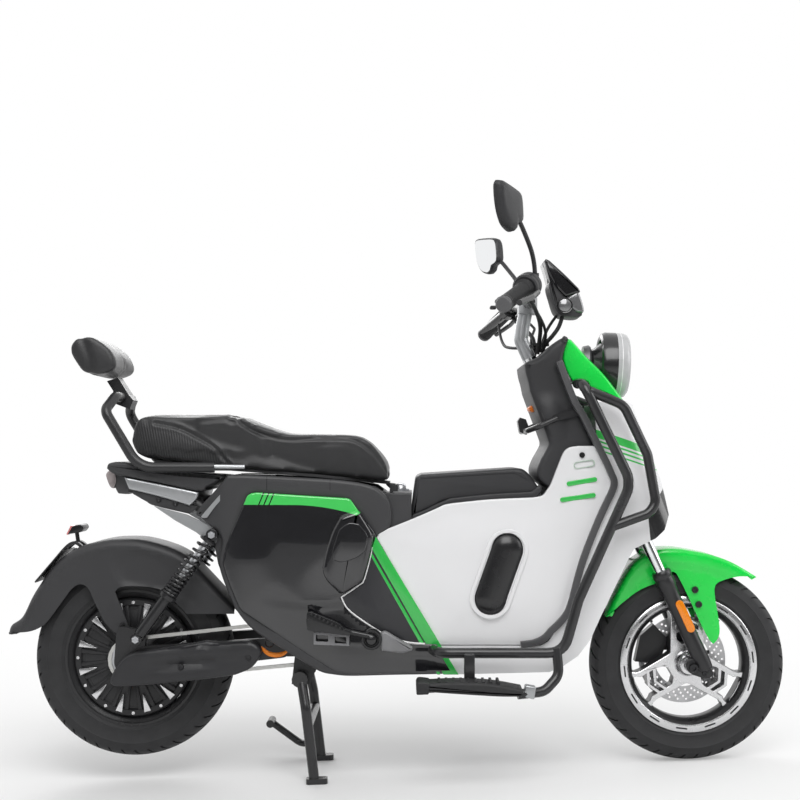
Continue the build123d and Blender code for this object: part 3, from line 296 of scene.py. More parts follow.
def open_up(piece, kind, test):
    """Opens a piece in edit mode with the corners, edges or faces selected whose middle and normal pass a test."""
    let_go()
    piece.select_set(True)
    bpy.context.view_layer.objects.active = piece
    mesh = piece.data
    for group in (mesh.vertices, mesh.edges, mesh.polygons):
        group.foreach_set("select", [False] * len(group))
    if kind == "VERT":
        for corner in mesh.vertices:
            corner.select = test(corner.co, corner.normal)
    if kind == "EDGE":
        for edge in mesh.edges:
            first, second = (mesh.vertices[i].co for i in edge.vertices)
            edge.select = test((first + second) / 2, first - second)
    if kind == "FACE":
        for face in mesh.polygons:
            face.select = test(face.center, face.normal)
    bpy.context.tool_settings.mesh_select_mode = (kind == "VERT", kind == "EDGE", kind == "FACE")
    bpy.ops.object.mode_set(mode="EDIT")


def open_all(piece):
    """Opens a piece with everything selected."""
    open_up(piece, "VERT", lambda place, normal: True)
    bpy.ops.mesh.select_all(action="SELECT")


def done(piece, angle=40):
    """Leaves edit mode, with edges under an angle shaded smooth."""
    if bpy.context.mode != "OBJECT":
        bpy.ops.object.mode_set(mode="OBJECT")
    let_go()
    piece.select_set(True)
    bpy.context.view_layer.objects.active = piece
    bpy.ops.object.shade_smooth_by_angle(angle=math.radians(angle))
    let_go()
    return piece


def tidy_mesh(piece):
    """Merges a piece's doubles and turns its faces outwards."""
    open_all(piece)
    bpy.ops.mesh.remove_doubles(threshold=0.00001)
    bpy.ops.mesh.normals_make_consistent(inside=False)
    bpy.ops.object.mode_set(mode="OBJECT")


def modified(piece, kind, **settings):
    """Adds a modifier with its settings and applies it."""
    let_go()
    piece.select_set(True)
    bpy.context.view_layer.objects.active = piece
    modifier = piece.modifiers.new(kind.lower(), kind)
    for key, value in settings.items():
        setattr(modifier, key, value)
    bpy.ops.object.modifier_apply(modifier=modifier.name)
    return piece


def bevelled(piece, width, segments=3, angle=35):
    return modified(piece, "BEVEL", width=width, segments=segments, limit_method="ANGLE", angle_limit=math.radians(angle))


def turned(name, section, centre, steps=96, axis=(0, 1, 0)):
    """Spins a closed section of (across, radius) pairs once round an axle that runs across the machine."""
    piece = ring(name, [(centre[0], centre[1] + across, centre[2] + radius) for across, radius in section])
    open_all(piece)
    bpy.ops.mesh.spin(steps=steps, angle=2 * math.pi, center=centre, axis=axis, use_auto_merge=True)
    bpy.ops.object.mode_set(mode="OBJECT")
    tidy_mesh(piece)
    return piece


def slab(name, outline, near, far):
    """An outline in the side view, as thick as from one distance across to the other."""
    piece = ring(name, [(x, near, z) for x, z in outline], face=True)
    open_all(piece)
    bpy.ops.mesh.extrude_region_move(TRANSFORM_OT_translate={"value": (0, far - near, 0)})
    bpy.ops.object.mode_set(mode="OBJECT")
    tidy_mesh(piece)
    return piece


def rolled_edge(piece, across, width, segments=4):
    """Rounds the rim of a slab on the side that lies at that distance across."""
    open_up(piece, "EDGE", lambda middle, along: abs(middle.y - across) < 0.0001)
    bpy.ops.mesh.bevel(offset=width, segments=segments, profile=0.5, clamp_overlap=False)
    bpy.ops.object.mode_set(mode="OBJECT")
    return piece


def gridded(piece, step):
    """Cuts a piece into squares in the side view, so that its surface can be curved."""
    places = [corner.co.copy() for corner in piece.data.vertices]
    for axis, normal in ((0, (1, 0, 0)), (2, (0, 0, 1))):
        low = min(place[axis] for place in places)
        high = max(place[axis] for place in places)
        for count in range(1, int((high - low) / step) + 1):
            middle = [0, 0, 0]
            middle[axis] = low + count * step
            open_all(piece)
            bpy.ops.mesh.bisect(plane_co=middle, plane_no=normal)
            bpy.ops.object.mode_set(mode="OBJECT")
    return piece


def copied(piece, name, matrix):
    """A copy with its own mesh, moved by a matrix and turned right side out if the matrix mirrors it."""
    double = piece.copy()
    double.data = piece.data.copy()
    double.name = name
    double.data.name = name
    bpy.context.collection.objects.link(double)
    double.data.transform(matrix)
    if matrix.determinant() < 0:
        double.data.flip_normals()
    return double


to_left = Matrix.Scale(-1, 4, (0, 1, 0))


def about_axle(centre, angle):
    """Turns about an axle across the machine."""
    middle = Matrix.Translation(centre)
    return middle @ Matrix.Rotation(angle, 4, "Y") @ middle.inverted()


def joined(name, pieces):
    """Joins pieces into one, which keeps the first one's name slot order."""
    let_go()
    for piece in pieces:
        piece.select_set(True)
    bpy.context.view_layer.objects.active = pieces[0]
    bpy.ops.object.join()
    whole = bpy.context.object
    whole.name = name
    whole.data.name = name
    let_go()
    return whole


def bar(name, path, radius, smooth=True, sides=6):
    """A round bar, hose or wire along a path, as a curve made into a mesh."""
    let_go()
    bpy.ops.curve.primitive_nurbs_path_add()
    piece = started(name)
    curve = piece.data
    curve.splines.clear()
    line = curve.splines.new("NURBS" if smooth else "POLY")
    line.points.add(len(path) - 1)
    for point, place in zip(line.points, path):
        point.co = (*place, 1)
    if smooth:
        line.order_u = 3
        line.use_endpoint_u = True
        line.resolution_u = 8
    curve.bevel_depth = radius
    curve.bevel_resolution = sides
    curve.use_fill_caps = True
    curve.dimensions = "3D"
    bpy.ops.object.convert(target="MESH")
    piece = bpy.context.object
    piece.data.name = name
    tidy_mesh(piece)
    return done(piece, 60)


def plate(name, outlines, near, far):
    """A flat plate in the side view, its later outlines cut out of the first as holes."""
    let_go()
    bpy.ops.curve.primitive_bezier_circle_add(radius=1)
    piece = started(name)
    curve = piece.data
    curve.splines.clear()
    curve.dimensions = "2D"
    curve.fill_mode = "BOTH"
    curve.extrude = abs(far - near) / 2
    for outline in outlines:
        line = curve.splines.new("POLY")
        line.points.add(len(outline) - 1)
        for point, (x, z) in zip(line.points, outline):
            point.co = (x, z, 0, 1)
        line.use_cyclic_u = True
    bpy.ops.object.convert(target="MESH")
    piece = bpy.context.object
    piece.data.name = name
    piece.data.transform(Matrix.Translation((0, (near + far) / 2, 0)) @ Matrix.Rotation(math.pi / 2, 4, "X"))
    tidy_mesh(piece)
    return done(piece, 30)


def disc_outline(centre, radius, count=24, start=0.0):
    """Points round a circle in the side view."""
    turns = [start + 2 * math.pi * i / count for i in range(count)]
    return [(centre[0] + radius * math.cos(turn), centre[1] + radius * math.sin(turn)) for turn in turns]


def bolt(name, place, radius, height, side=-1):
    """A hexagon socket screw whose head stands out sideways."""
    head = radius * 0.9
    section = [(0, radius * 0.45), (0, radius * 0.95), (side * height * 0.75, radius), (side * height, head)]
    section += [(side * height, radius * 0.5), (side * height * 0.45, radius * 0.45)]
    piece = turned(name, section, place, 18)
    plug = ring(name + "_plug", [(place[0] + x, place[1] + side * height * 0.5, place[2] + z) for x, z in disc_outline((0, 0), radius * 0.5, 6)], face=True)
    return done(joined(name, [piece, plug]), 35)


# Swingarm cover: one moulding of black polypropylene with a raised spine and a
# long hollow, over the right arm and the chain run, held by two screws.
def moulded_plastic(name, colour, roughness, grain=1.0):
    """Injection moulded plastic with a fine spark-eroded grain and a slight bloom."""
    plastic = Finish(name, colour, roughness, Specular_IOR_Level=0.4)
    texture = plastic.place.noise(1500, 2)
    bloom = plastic.place.noise(9, 4)
    dark, light = shades(colour, 0.82, 1.25)
    plastic.feed(Base_Color=bloom.tint(dark, light), Roughness=roughness + (bloom - 0.5) * 0.16)
    return plastic.bump(texture, 0.0004, 0.25 * grain)


dark_plastic = moulded_plastic("black_moulding", (0.024, 0.024, 0.026), 0.42)
arm_cover_inner = -0.0905
arm_cover_outer = -0.117
arm_cover_outline = flow(
    [(-0.034, 0.190), (-0.027, 0.209), (-0.010, 0.234), (0.014, 0.250), (0.060, 0.257), (0.110, 0.264), (0.171, 0.275)],
    [(0.171, 0.275), (0.210, 0.272), (0.240, 0.2745), (0.268, 0.274), (0.285, 0.264), (0.289, 0.246), (0.268, 0.218), (0.234, 0.203)],
    [(0.234, 0.203), (0.171, 0.194), (0.110, 0.188), (0.052, 0.182), (-0.011, 0.178), (-0.030, 0.182), (-0.034, 0.190)],
)
arm_cover = slab("swingarm_cover_moulding", arm_cover_outline, arm_cover_inner, arm_cover_outer)
rolled_edge(arm_cover, arm_cover_outer, 0.007)
gridded(arm_cover, 0.008)
for corner in arm_cover.data.vertices:
    x, y, z = corner.co
    top = 0.252 + 0.08 * x
    spine = math.exp(-(((z - (0.232 + 0.09 * x)) / 0.012) ** 2)) * min(1, max(0, (x - 0.02) / 0.05))
    hollow = math.exp(-(((z - (0.214 + 0.10 * x)) / 0.010) ** 2)) * math.exp(-(((x - 0.13) / 0.075) ** 4))
    reach = max(0, (arm_cover_inner - y) / (arm_cover_inner - arm_cover_outer))
    corner.co.y += reach * (0.007 * hollow - 0.003 * spine + (0.006 if z > top else 0))
dark_plastic.on(arm_cover)
arm_bolt_finish = Finish("blackened_screw", (0.05, 0.05, 0.052), 0.32, Metallic=1.0)
arm_bolts = [bolt("arm_screw", (x, arm_cover_outer + 0.002, z), 0.0065, 0.004) for x, z in ((0.262, 0.240), (0.118, 0.222))]
for screw in arm_bolts:
    arm_bolt_finish.on(screw)
arm_cover = park(joined("swingarm_cover_moulding", [arm_cover, *arm_bolts]))
done(arm_cover, 30)
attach(arm_cover, "chassis")
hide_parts("swingarm_cover")


# Tyres: black rubber on cast rims, 16 inch, with a rounded road tread. Diagonal
# grooves run from the shoulders towards the middle and leave a plain centre
# band, and two raised lines ring each sidewall.
rubber = Finish("tyre_rubber", (0.022, 0.022, 0.023), 0.62, Specular_IOR_Level=0.3)
rubber_dust = rubber.place.noise(26, 5)
rubber_dark, rubber_light = shades((0.022, 0.022, 0.023), 0.8, 1.9)
rubber.feed(Base_Color=rubber_dust.tint(rubber_dark, rubber_light), Roughness=0.5 + rubber_dust * 0.22)
rubber.bump(rubber.place.noise(700, 2), 0.0006, 0.3)
tyre_bead = 0.031
rim_flange = 0.150
tread_pitches = 44
steps_a_pitch = 6
groove_depth = 0.0035


def tyre(name, centre, radius, half, body, sweep):
    """Spins the tyre's section, twists its steps into a chevron and sinks the tread grooves."""
    crown = [(half * math.sin(t), radius - (half * 0.42) * (1 - math.cos(t)) - 0.003 * math.sin(t) ** 2) for t in (i * math.pi / 18 for i in range(-8, 9))]
    wall = [(0.0, 1.0), (0.24, 1.03), (0.30, 1.075), (0.36, 1.035), (0.62, 0.99), (0.80, 0.93), (0.86, 0.955), (0.92, 0.9), (1.0, 0.84)]
    shoulder_radius = crown[-1][1]
    side = []
    for share, width in wall[1:]:
        side.append((half * width, shoulder_radius + (rim_flange - shoulder_radius) * share))
    side.append((tyre_bead, rim_flange - 0.0005))
    section = crown + side + [(across * -1, height) for across, height in reversed(side)]
    piece = turned(name, section, centre, tread_pitches * steps_a_pitch)
    for corner in piece.data.vertices:
        across = corner.co.y
        arm = Vector((corner.co.x - centre[0], 0, corner.co.z - centre[2]))
        turn = sweep * (abs(across) / half) ** 1.3 * min(1, max(0, (arm.length - shoulder_radius + 0.03) / 0.03))
        corner.co = Vector(centre) + Matrix.Rotation(turn, 3, "Y") @ arm + Vector((0, across, 0))
    step = 2 * math.pi / (tread_pitches * steps_a_pitch)

    def in_groove(place, normal):
        across = place.y / half
        arm = Vector((place.x - centre[0], 0, place.z - centre[2]))
        if arm.length < shoulder_radius - 0.002 or abs(across) < 0.16:
            return False
        turn = math.atan2(arm.x, arm.z) - sweep * abs(across) ** 1.3
        count = int(math.floor(turn / step + 0.5 * (across > 0) * steps_a_pitch)) % (2 * steps_a_pitch)
        return count == 0 or (count == steps_a_pitch and abs(across) > 0.55)

    open_up(piece, "FACE", in_groove)
    bpy.ops.mesh.extrude_region_shrink_fatten(TRANSFORM_OT_shrink_fatten={"value": -groove_depth})
    bpy.ops.object.mode_set(mode="OBJECT")
    rubber.on(piece)
    park(done(piece, 38))
    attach(piece, body)
    return piece


rear_tread = tyre("rear_tyre_tread", rear_axle, 0.219, 0.040, "rear_wheel", 0.11)
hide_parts("rear_tyre")


# Rear rim: spun aluminium with a deep black barrel and a bright lip on each
# edge. The slots punched through behind the lip for the air valve are not drawn.
rim_paint = powder_coat("rim_paint", (0.016, 0.016, 0.017), 0.3)
bright_metal = Finish("machined_alloy", (0.72, 0.72, 0.73), 0.27, Metallic=1.0)
lathe_marks = bright_metal.place.stretched(1, 40, 1).noise(900, 2)
bright_metal.feed(Roughness=0.2 + bright_metal.place.noise(60, 3) * 0.12)
bright_metal.bump(lathe_marks, 0.0001, 0.12)
rim_half = 0.035


def rim_section(lip, well):
    """The rim's section: bead seats, two lips and a well."""
    half_side = [
        (rim_half, lip),
        (rim_half, lip - 0.0055),
        (rim_half - 0.004, lip - 0.0085),
        (rim_half - 0.006, well + 0.006),
        (rim_half - 0.014, well),
    ]
    outer = [(rim_half - 0.004, lip), (rim_half - 0.0042, lip - 0.009)]
    right = [(-across, radius) for across, radius in half_side]
    inner = [(-across, radius) for across, radius in outer]
    return half_side + [*reversed(right)] + inner + [*reversed(outer)]


def paint_faces(piece, slot_index, test):
    """Gives some of a piece's faces the finish in another of its slots."""
    for face in piece.data.polygons:
        if test(face.center, face.normal):
            face.material_index = slot_index


rear_rim = turned("rear_rim_spun", rim_section(rim_flange, 0.131), rear_axle, 120)
rear_rim.data.materials.append(rim_paint.material)
rear_rim.data.materials.append(bright_metal.material)
paint_faces(rear_rim, 1, lambda place, normal: (place - rear_axle - Vector((0, place.y, 0))).length > 0.1475)
park(done(rear_rim, 30))
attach(rear_rim, "rear_wheel")
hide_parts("rear_rim")


# Hub motor: a cast drum that fills the rim, its side cover ribbed for cooling,
# held by twelve screws, with twelve bright wedges machined between the ribs.
motor_face = 0.030
motor_radius = 0.1305
motor_paint = powder_coat("motor_paint", (0.013, 0.013, 0.014), 0.4)
motor_section = [
    (motor_face, 0.012),
    (motor_face + 0.010, 0.012),
    (motor_face + 0.010, 0.040),
    (motor_face + 0.004, 0.048),
    (motor_face, 0.055),
    (motor_face - 0.002, 0.112),
    (motor_face + 0.002, 0.116),
    (motor_face + 0.002, 0.127),
    (motor_face - 0.002, motor_radius),
]
motor_section += [(-across, radius) for across, radius in reversed(motor_section)]
motor = turned("hub_motor_cover", motor_section, rear_axle, 120)
motor_paint.on(motor)
motor_paint_parts = [motor]
motor_bright_parts = []
for side in (-1, 1):
    rib = slab("rib", [(0.052, -0.0016), (0.115, -0.0042), (0.115, 0.0042), (0.052, 0.0016)], side * (motor_face - 0.003), side * (motor_face + 0.0035))
    bevelled(rib, 0.0008, 2)
    wedge = slab("wedge", [(0.083, -0.0007), (0.122, -0.0075), (0.122, 0.0075), (0.083, 0.0007)], side * (motor_face - 0.002), side * (motor_face + 0.0055))
    bevelled(wedge, 0.0006, 2)
    screw = bolt("motor_screw", (0.1215, side * (motor_face + 0.002), 0), 0.0038, 0.003, side)
    panel = slab("panel", flow([(0.060, -0.006), (0.060, 0.006)], [(0.105, 0.014), (0.105, -0.014)]), side * (motor_face - 0.003), side * (motor_face + 0.0012))
    bevelled(panel, 0.001, 2)
    for count in range(12):
        turn = Matrix.Translation(rear_axle) @ Matrix.Rotation(2 * math.pi * count / 12, 4, "Y")
        between = Matrix.Translation(rear_axle) @ Matrix.Rotation(2 * math.pi * (count + 0.5) / 12, 4, "Y")
        quarter = Matrix.Translation(rear_axle) @ Matrix.Rotation(2 * math.pi * (count + 0.25) / 12, 4, "Y")
        last_quarter = Matrix.Translation(rear_axle) @ Matrix.Rotation(2 * math.pi * (count + 0.75) / 12, 4, "Y")
        motor_paint_parts += [copied(rib, "rib", quarter), copied(rib, "rib", last_quarter), copied(panel, "panel", turn)]
        motor_bright_parts += [copied(wedge, "wedge", between), copied(screw, "motor_screw", turn)]
    for used in (rib, wedge, screw, panel):
        bpy.data.objects.remove(used)
for part in motor_paint_parts:
    motor_paint.on(part)
for part in motor_bright_parts:
    bright_metal.on(part)
motor = park(done(joined("hub_motor_cover", motor_paint_parts + motor_bright_parts), 35))
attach(motor, "rear_wheel")
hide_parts("hub_motor")


# Rear sprocket: a toothed steel ring over a gold washer, screwed to the hub's
# right side. The axle nut at its middle is not drawn.
sprocket_across = -0.062
gold = Finish("gold_passivate", (0.55, 0.36, 0.13), 0.33, Metallic=1.0)
gold.feed(Roughness=0.28 + gold.place.noise(80, 3) * 0.2)
zinc = Finish("zinc_plate", (0.55, 0.56, 0.58), 0.34, Metallic=1.0)
zinc.feed(Roughness=0.26 + zinc.place.noise(120, 3) * 0.25)
teeth = 20
tooth_ring = []
for count in range(teeth * 4):
    reach = 0.0455 if count % 4 in (0, 1) else 0.041
    turn = 2 * math.pi * count / (teeth * 4)
    tooth_ring.append((rear_axle.x + reach * math.cos(turn), rear_axle.z + reach * math.sin(turn)))
hub_spot = (rear_axle.x, rear_axle.z)
sprocket = plate("sprocket_ring", [tooth_ring, disc_outline(hub_spot, 0.034, 36)], sprocket_across - 0.0015, sprocket_across + 0.0015)
zinc.on(sprocket)
washer = turned("sprocket_washer", [(-0.058, 0.014), (-0.0645, 0.014), (-0.0645, 0.034), (-0.058, 0.036)], rear_axle, 48)
gold.on(washer)
carrier = turned("sprocket_carrier", [(-0.040, 0.008), (-0.066, 0.008), (-0.066, 0.014), (-0.058, 0.020), (-0.040, 0.024)], rear_axle, 48)
motor_paint.on(carrier)
sprocket = park(done(joined("rear_sprocket", [sprocket, washer, carrier]), 35))
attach(sprocket, "rear_wheel")


# Chain: plated roller links of half-inch pitch round the rear sprocket and the
# pedal shaft's ring, each link two waisted plates on round pins.
steel = Finish("chain_steel", (0.62, 0.62, 0.60), 0.32, Metallic=1.0)
steel.feed(Roughness=0.24 + steel.place.noise(300, 3) * 0.3)
chain_pitch = 0.0127
ring_spot = Vector((0.527, 0, 0.282))
rear_reach = 0.0448
ring_reach = 0.0485
gap = ring_spot - rear_axle
tilt = math.atan2(gap.z, gap.x)
splay = math.asin((ring_reach - rear_reach) / gap.length)
straight = math.sqrt(gap.length**2 - (ring_reach - rear_reach) ** 2)


def chain_place(travel):
    """The place and the slope of the chain at a length along it, from the top of the rear sprocket forwards."""
    top_turn = tilt + math.pi / 2 + splay
    low_turn = tilt - math.pi / 2 - splay
    ring_wrap = (math.pi + 2 * splay) * ring_reach
    if travel < straight:
        start = rear_axle + rear_reach * Vector((math.cos(top_turn), 0, math.sin(top_turn)))
        slope = tilt + splay
        return start + travel * Vector((math.cos(slope), 0, math.sin(slope))), slope
    travel -= straight
    if travel < ring_wrap:
        turn = top_turn - travel / ring_reach
        return ring_spot + ring_reach * Vector((math.cos(turn), 0, math.sin(turn))), turn - math.pi / 2
    travel -= ring_wrap
    if travel < straight:
        start = ring_spot + ring_reach * Vector((math.cos(low_turn), 0, math.sin(low_turn)))
        slope = tilt - splay + math.pi
        return start + travel * Vector((math.cos(slope), 0, math.sin(slope))), slope
    travel -= straight
    turn = low_turn - travel / rear_reach
    return rear_axle + rear_reach * Vector((math.cos(turn), 0, math.sin(turn))), turn - math.pi / 2


link_outline = disc_outline((-chain_pitch / 2, 0), 0.0038, 8, math.pi / 2)[:5] + disc_outline((chain_pitch / 2, 0), 0.0038, 8, -math.pi / 2)[:5]
link = slab("link", link_outline, -0.0012, 0.0012)
pin = turned("pin", [(-0.0035, 0.0004), (-0.0035, 0.0022), (0.0035, 0.0022), (0.0035, 0.0004)], (chain_pitch / 2, 0, 0), 8)
links = []
loop_length = 2 * straight + (math.pi + 2 * splay) * ring_reach + (math.pi - 2 * splay) * rear_reach
link_count = 2 * round(loop_length / chain_pitch / 2)
for count in range(link_count):
    place, slope = chain_place((count + 0.5) * loop_length / link_count)
    across = 0.0028 if count % 2 else 0.0016
    here = Matrix.Translation((place.x, sprocket_across, place.z)) @ Matrix.Rotation(-slope, 4, "Y")
    links += [copied(link, "link", here @ Matrix.Translation((0, offset, 0))) for offset in (-across, across)]
    links.append(copied(pin, "pin", here))
front_ring = plate("chain_ring", [disc_outline((ring_spot.x, ring_spot.z), ring_reach - 0.002, 64), disc_outline((ring_spot.x, ring_spot.z), 0.010, 24)], sprocket_across - 0.0015, sprocket_across + 0.0015)
ring_shaft = turned("chain_ring_shaft", [(-0.116, 0.0005), (-0.116, 0.009), (-0.058, 0.009), (-0.058, 0.012), (-0.055, 0.0005)], ring_spot, 24)
chain = joined("drive_chain_links", [*links, front_ring, ring_shaft])
bpy.data.objects.remove(link)
bpy.data.objects.remove(pin)
steel.on(chain)
park(done(chain, 40))
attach(chain, "chassis")
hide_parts("drive_chain")


# Shock absorbers: an oil-filled body below, a bright rod above and a black coil
# spring over both, wound closer towards the body, with an eye at each end.
spring_paint = powder_coat("spring_paint", (0.014, 0.014, 0.015), 0.22)
shock_low = Vector((0.026, 0, 0.282))
shock_top = Vector((0.187, 0, 0.504))
shock_length = (shock_top - shock_low).length
shock_across = 0.1272
shock_turn = Matrix.Translation(shock_low) @ (shock_top - shock_low).to_track_quat("Z", "Y").to_matrix().to_4x4()
coil_start = 0.118
coil_end = 0.256
close_turns = 6
open_turns = 6
coil = []
for count in range((close_turns + open_turns) * 14 + 1):
    turns = count / 14
    share = turns / (close_turns + open_turns)
    climb = coil_start + (coil_end - coil_start) * (0.55 * share + 0.45 * share**2.2)
    coil.append((0.0150 * math.cos(2 * math.pi * turns), 0.0150 * math.sin(2 * math.pi * turns), climb))
spring = bar("spring", coil, 0.0031, smooth=False, sides=2)


def turned_up(name, section, steps=40):
    """A piece turned about an upright line: closed (radius, height) pairs."""
    piece = ring(name, [(radius, 0, height) for radius, height in section])
    open_all(piece)
    bpy.ops.mesh.spin(steps=steps, angle=2 * math.pi, center=(0, 0, 0), axis=(0, 0, 1), use_auto_merge=True)
    bpy.ops.object.mode_set(mode="OBJECT")
    tidy_mesh(piece)
    return piece


shock_body = turned_up(
    "shock_body",
    [(0.0005, 0.010), (0.0120, 0.012), (0.0130, 0.020), (0.0130, 0.106), (0.0185, 0.108), (0.0195, 0.112), (0.0195, 0.117),
     (0.0160, 0.119), (0.0110, 0.119), (0.0110, 0.160), (0.0005, 0.162)],
)
shock_rod = turned_up("shock_rod", [(0.0005, 0.150), (0.0075, 0.150), (0.0075, 0.262), (0.0005, 0.262)])
shock_cap = turned_up(
    "shock_cap",
    [(0.0078, 0.254), (0.0185, 0.256), (0.0190, 0.261), (0.0120, 0.265), (0.0100, shock_length - 0.010), (0.0078, shock_length - 0.009)],
)
for piece in (shock_body, spring, shock_cap):
    spring_paint.on(piece)
zinc.on(shock_rod)
upright = [shock_body, shock_rod, shock_cap, spring]
for piece in upright:
    piece.data.transform(shock_turn)
eyes = []
for middle, hole in ((shock_low, 0.0062), (shock_top, 0.0072)):
    eye = turned("shock_eye", [(-0.010, hole), (-0.010, 0.0125), (0.010, 0.0125), (0.010, hole)], middle, 32)
    bevelled(eye, 0.0012, 2)
    spring_paint.on(eye)
    nut = turned("shock_nut", [(-0.016, 0.0005), (-0.016, 0.0078), (-0.010, 0.0088), (-0.010, 0.0005)], middle, 6)
    zinc.on(nut)
    eyes += [eye, nut]
shock_right = joined("shock_absorber", upright + eyes)
shock_left = copied(shock_right, "shock_absorber_left", to_left @ Matrix.Translation((0, -shock_across, 0)))
shock_right.data.transform(Matrix.Translation((0, -shock_across, 0)))
shocks = park(done(joined("shock_absorber_pair", [shock_right, shock_left]), 40))
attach(shocks, "chassis")
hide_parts("shock_absorbers")


# Rear mudguard: a thin polypropylene shell over the tyre, with a fold round its
# rim, a hollow pressed into each skirt, and a stay that is bolted to the arm.
def mm(*places):
    """Places given in millimetres, in metres."""
    return [tuple(value / 1000 for value in place) for place in places]


def inward(outline, x, z):
    """How far a place lies inside an outline in the side view, and less than nothing outside it."""
    nearest = 9.0
    inside = False
    for (ax, az), (bx, bz) in zip(outline, outline[1:] + outline[:1]):
        run = (bx - ax) ** 2 + (bz - az) ** 2
        share = max(0, min(1, ((x - ax) * (bx - ax) + (z - az) * (bz - az)) / run))
        nearest = min(nearest, math.hypot(x - ax - share * (bx - ax), z - az - share * (bz - az)))
        if (az > z) != (bz > z) and x < ax + (z - az) * (bx - ax) / (bz - az):
            inside = not inside
    return nearest if inside else -nearest


def eased(value):
    """A soft step from 0 to 1."""
    value = max(0, min(1, value))
    return value * value * (3 - 2 * value)


guard_plastic = moulded_plastic("guard_moulding", (0.034, 0.034, 0.036), 0.5)
guard_half = 0.066
guard_roll = 0.020
guard_top = flow(
    mm((-268, 286), (-262, 302), (-238, 321), (-211, 374), (-165, 438), (-119, 470), (-64, 487), (-18, 491), (28, 488), (84, 472), (118, 455)),
)
guard_under = flow(
    mm((226, 328), (122, 328)),
    mm((122, 328), (104, 346), (84, 367), (59, 382), (12, 388), (-22, 386), (-34, 376)),
    mm((-34, 376), (-8, 309), (-3, 292)),
    mm((-3, 292), (-10, 285), (-30, 285), (-44, 296)),
    mm((-44, 296), (-60, 316), (-81, 359), (-93, 384), (-110, 392), (-128, 382), (-150, 353), (-175, 319), (-192, 301), (-221, 289), (-268, 286)),
)
guard_outline = guard_top + mm((226, 340)) + guard_under
guard = slab("rear_mudguard_shell", guard_outline, -guard_half, guard_half)


def arch_height(x):
    """The height of the mudguard's top over a place along the machine."""
    for (ax, az), (bx, bz) in zip(guard_top, guard_top[1:]):
        if ax <= x <= bx:
            return az + (bz - az) * (x - ax) / (bx - ax)
    return 0.34


def is_under(middle):
    """Whether a face across the machine belongs to the mudguard's open underside."""
    return middle.z < arch_height(middle.x) - 0.006


open_up(guard, "FACE", lambda middle, normal: abs(normal.y) < 0.5 and is_under(middle))
bpy.ops.mesh.delete(type="FACE")
bpy.ops.object.mode_set(mode="OBJECT")
open_up(guard, "EDGE", lambda middle, along: abs(abs(middle.y) - guard_half) < 0.001 and not is_under(middle) and abs(along.y) < 0.001)
bpy.ops.mesh.bevel(offset=guard_roll, segments=6, profile=0.5, clamp_overlap=False)
bpy.ops.object.mode_set(mode="OBJECT")
gridded(guard, 0.010)
guard_hollow = flow(mm((-31, 455), (10, 462), (60, 452), (110, 424)), mm((110, 424), (150, 350), (60, 375), (0, 386), (-24, 392)), mm((-24, 392), (-40, 436), (-31, 455)))
for corner in guard.data.vertices:
    x, y, z = corner.co
    if abs(y) > guard_half - 0.004:
        sunk = 0.006 * eased(inward(guard_hollow, x, z) / 0.010)
        band = 0.003 * eased((arch_height(x) - z - 0.020) / 0.006)
        corner.co.y -= math.copysign(sunk + band, y)
modified(guard, "SOLIDIFY", thickness=0.0026, offset=-1)
guard_plastic.on(guard)
guard_screws = [bolt("guard_screw", (-0.018, side * (guard_half - 0.0028), 0.303), 0.0058, 0.0035, side) for side in (-1, 1)]
for screw in guard_screws:
    arm_bolt_finish.on(screw)
guard = park(done(joined("rear_mudguard_shell", [guard, *guard_screws]), 35))
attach(guard, "chassis")
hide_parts("rear_mudguard")


# Number plate bracket: folded sheet steel on the mudguard's tail, open in its
# middle, with a red and black reflector on a short stalk above it.
def ribbon(path, width):
    """The outline of a strip of one width along a path in the side view."""
    left = []
    right = []
    for i, (x, z) in enumerate(path):
        ax, az = path[max(0, i - 1)]
        bx, bz = path[min(len(path) - 1, i + 1)]
        length = math.hypot(bx - ax, bz - az)
        left.append((x - (bz - az) / length * width / 2, z + (bx - ax) / length * width / 2))
        right.append((x + (bz - az) / length * width / 2, z - (bx - ax) / length * width / 2))
    return left + right[::-1]


plate_turn = Matrix.Translation((-0.179, 0, 0.430)) @ Matrix.Rotation(math.radians(-49.5), 4, "Y")
plate_arms = []
for side in (-1, 1):
    for route in (mm((-112, 466), (-126, 478), (-140, 478), (-158, 462), (-182, 432), (-200, 404)), mm((-128, 466), (-146, 450), (-172, 422), (-196, 400))):
        arm = slab("plate_arm", ribbon(flow(route), 0.0065), side * 0.012, side * 0.026)
        plate_arms.append(bevelled(arm, 0.001, 2))
number_plate = slab("number_plate", mm((-47, 0), (44, 0), (44, 2.5), (-47, 2.5)), -0.062, 0.062)
open_up(number_plate, "EDGE", lambda middle, along: abs(along.z) > 0.002)
bpy.ops.mesh.bevel(offset=0.008, segments=4)
bpy.ops.object.mode_set(mode="OBJECT")
number_plate.data.transform(plate_turn)
bevelled(number_plate, 0.0006, 2)
plate_stalk = bar("plate_stalk", [(-0.128, 0, 0.474), (-0.131, 0, 0.488), (-0.133, 0, 0.506)], 0.0045)
for piece in (number_plate, *plate_arms, plate_stalk):
    black_coat.on(piece)
holder = slab("reflector_holder", flow(mm((-146, 499), (-118, 503)), mm((-118, 503), (-112, 512), (-118, 520), (-136, 516)), mm((-136, 516), (-146, 499))), -0.028, 0.028)
bevelled(holder, 0.002, 3)
arm_bolt_finish.on(holder)
# The red lens glows faintly through a small emission strength. This is a painted glow, not a lamp.
red_lens = Finish("red_lens", (0.55, 0.008, 0.008), 0.12, Coat_Weight=1.0, Emission_Strength=0.15)
red_cells = red_lens.place.node("ShaderNodeTexVoronoi", {}, {"Vector": red_lens.place, "Scale": 360.0}, "Distance")
red_dark, red_light = shades((0.55, 0.008, 0.008), 0.45, 1.2)
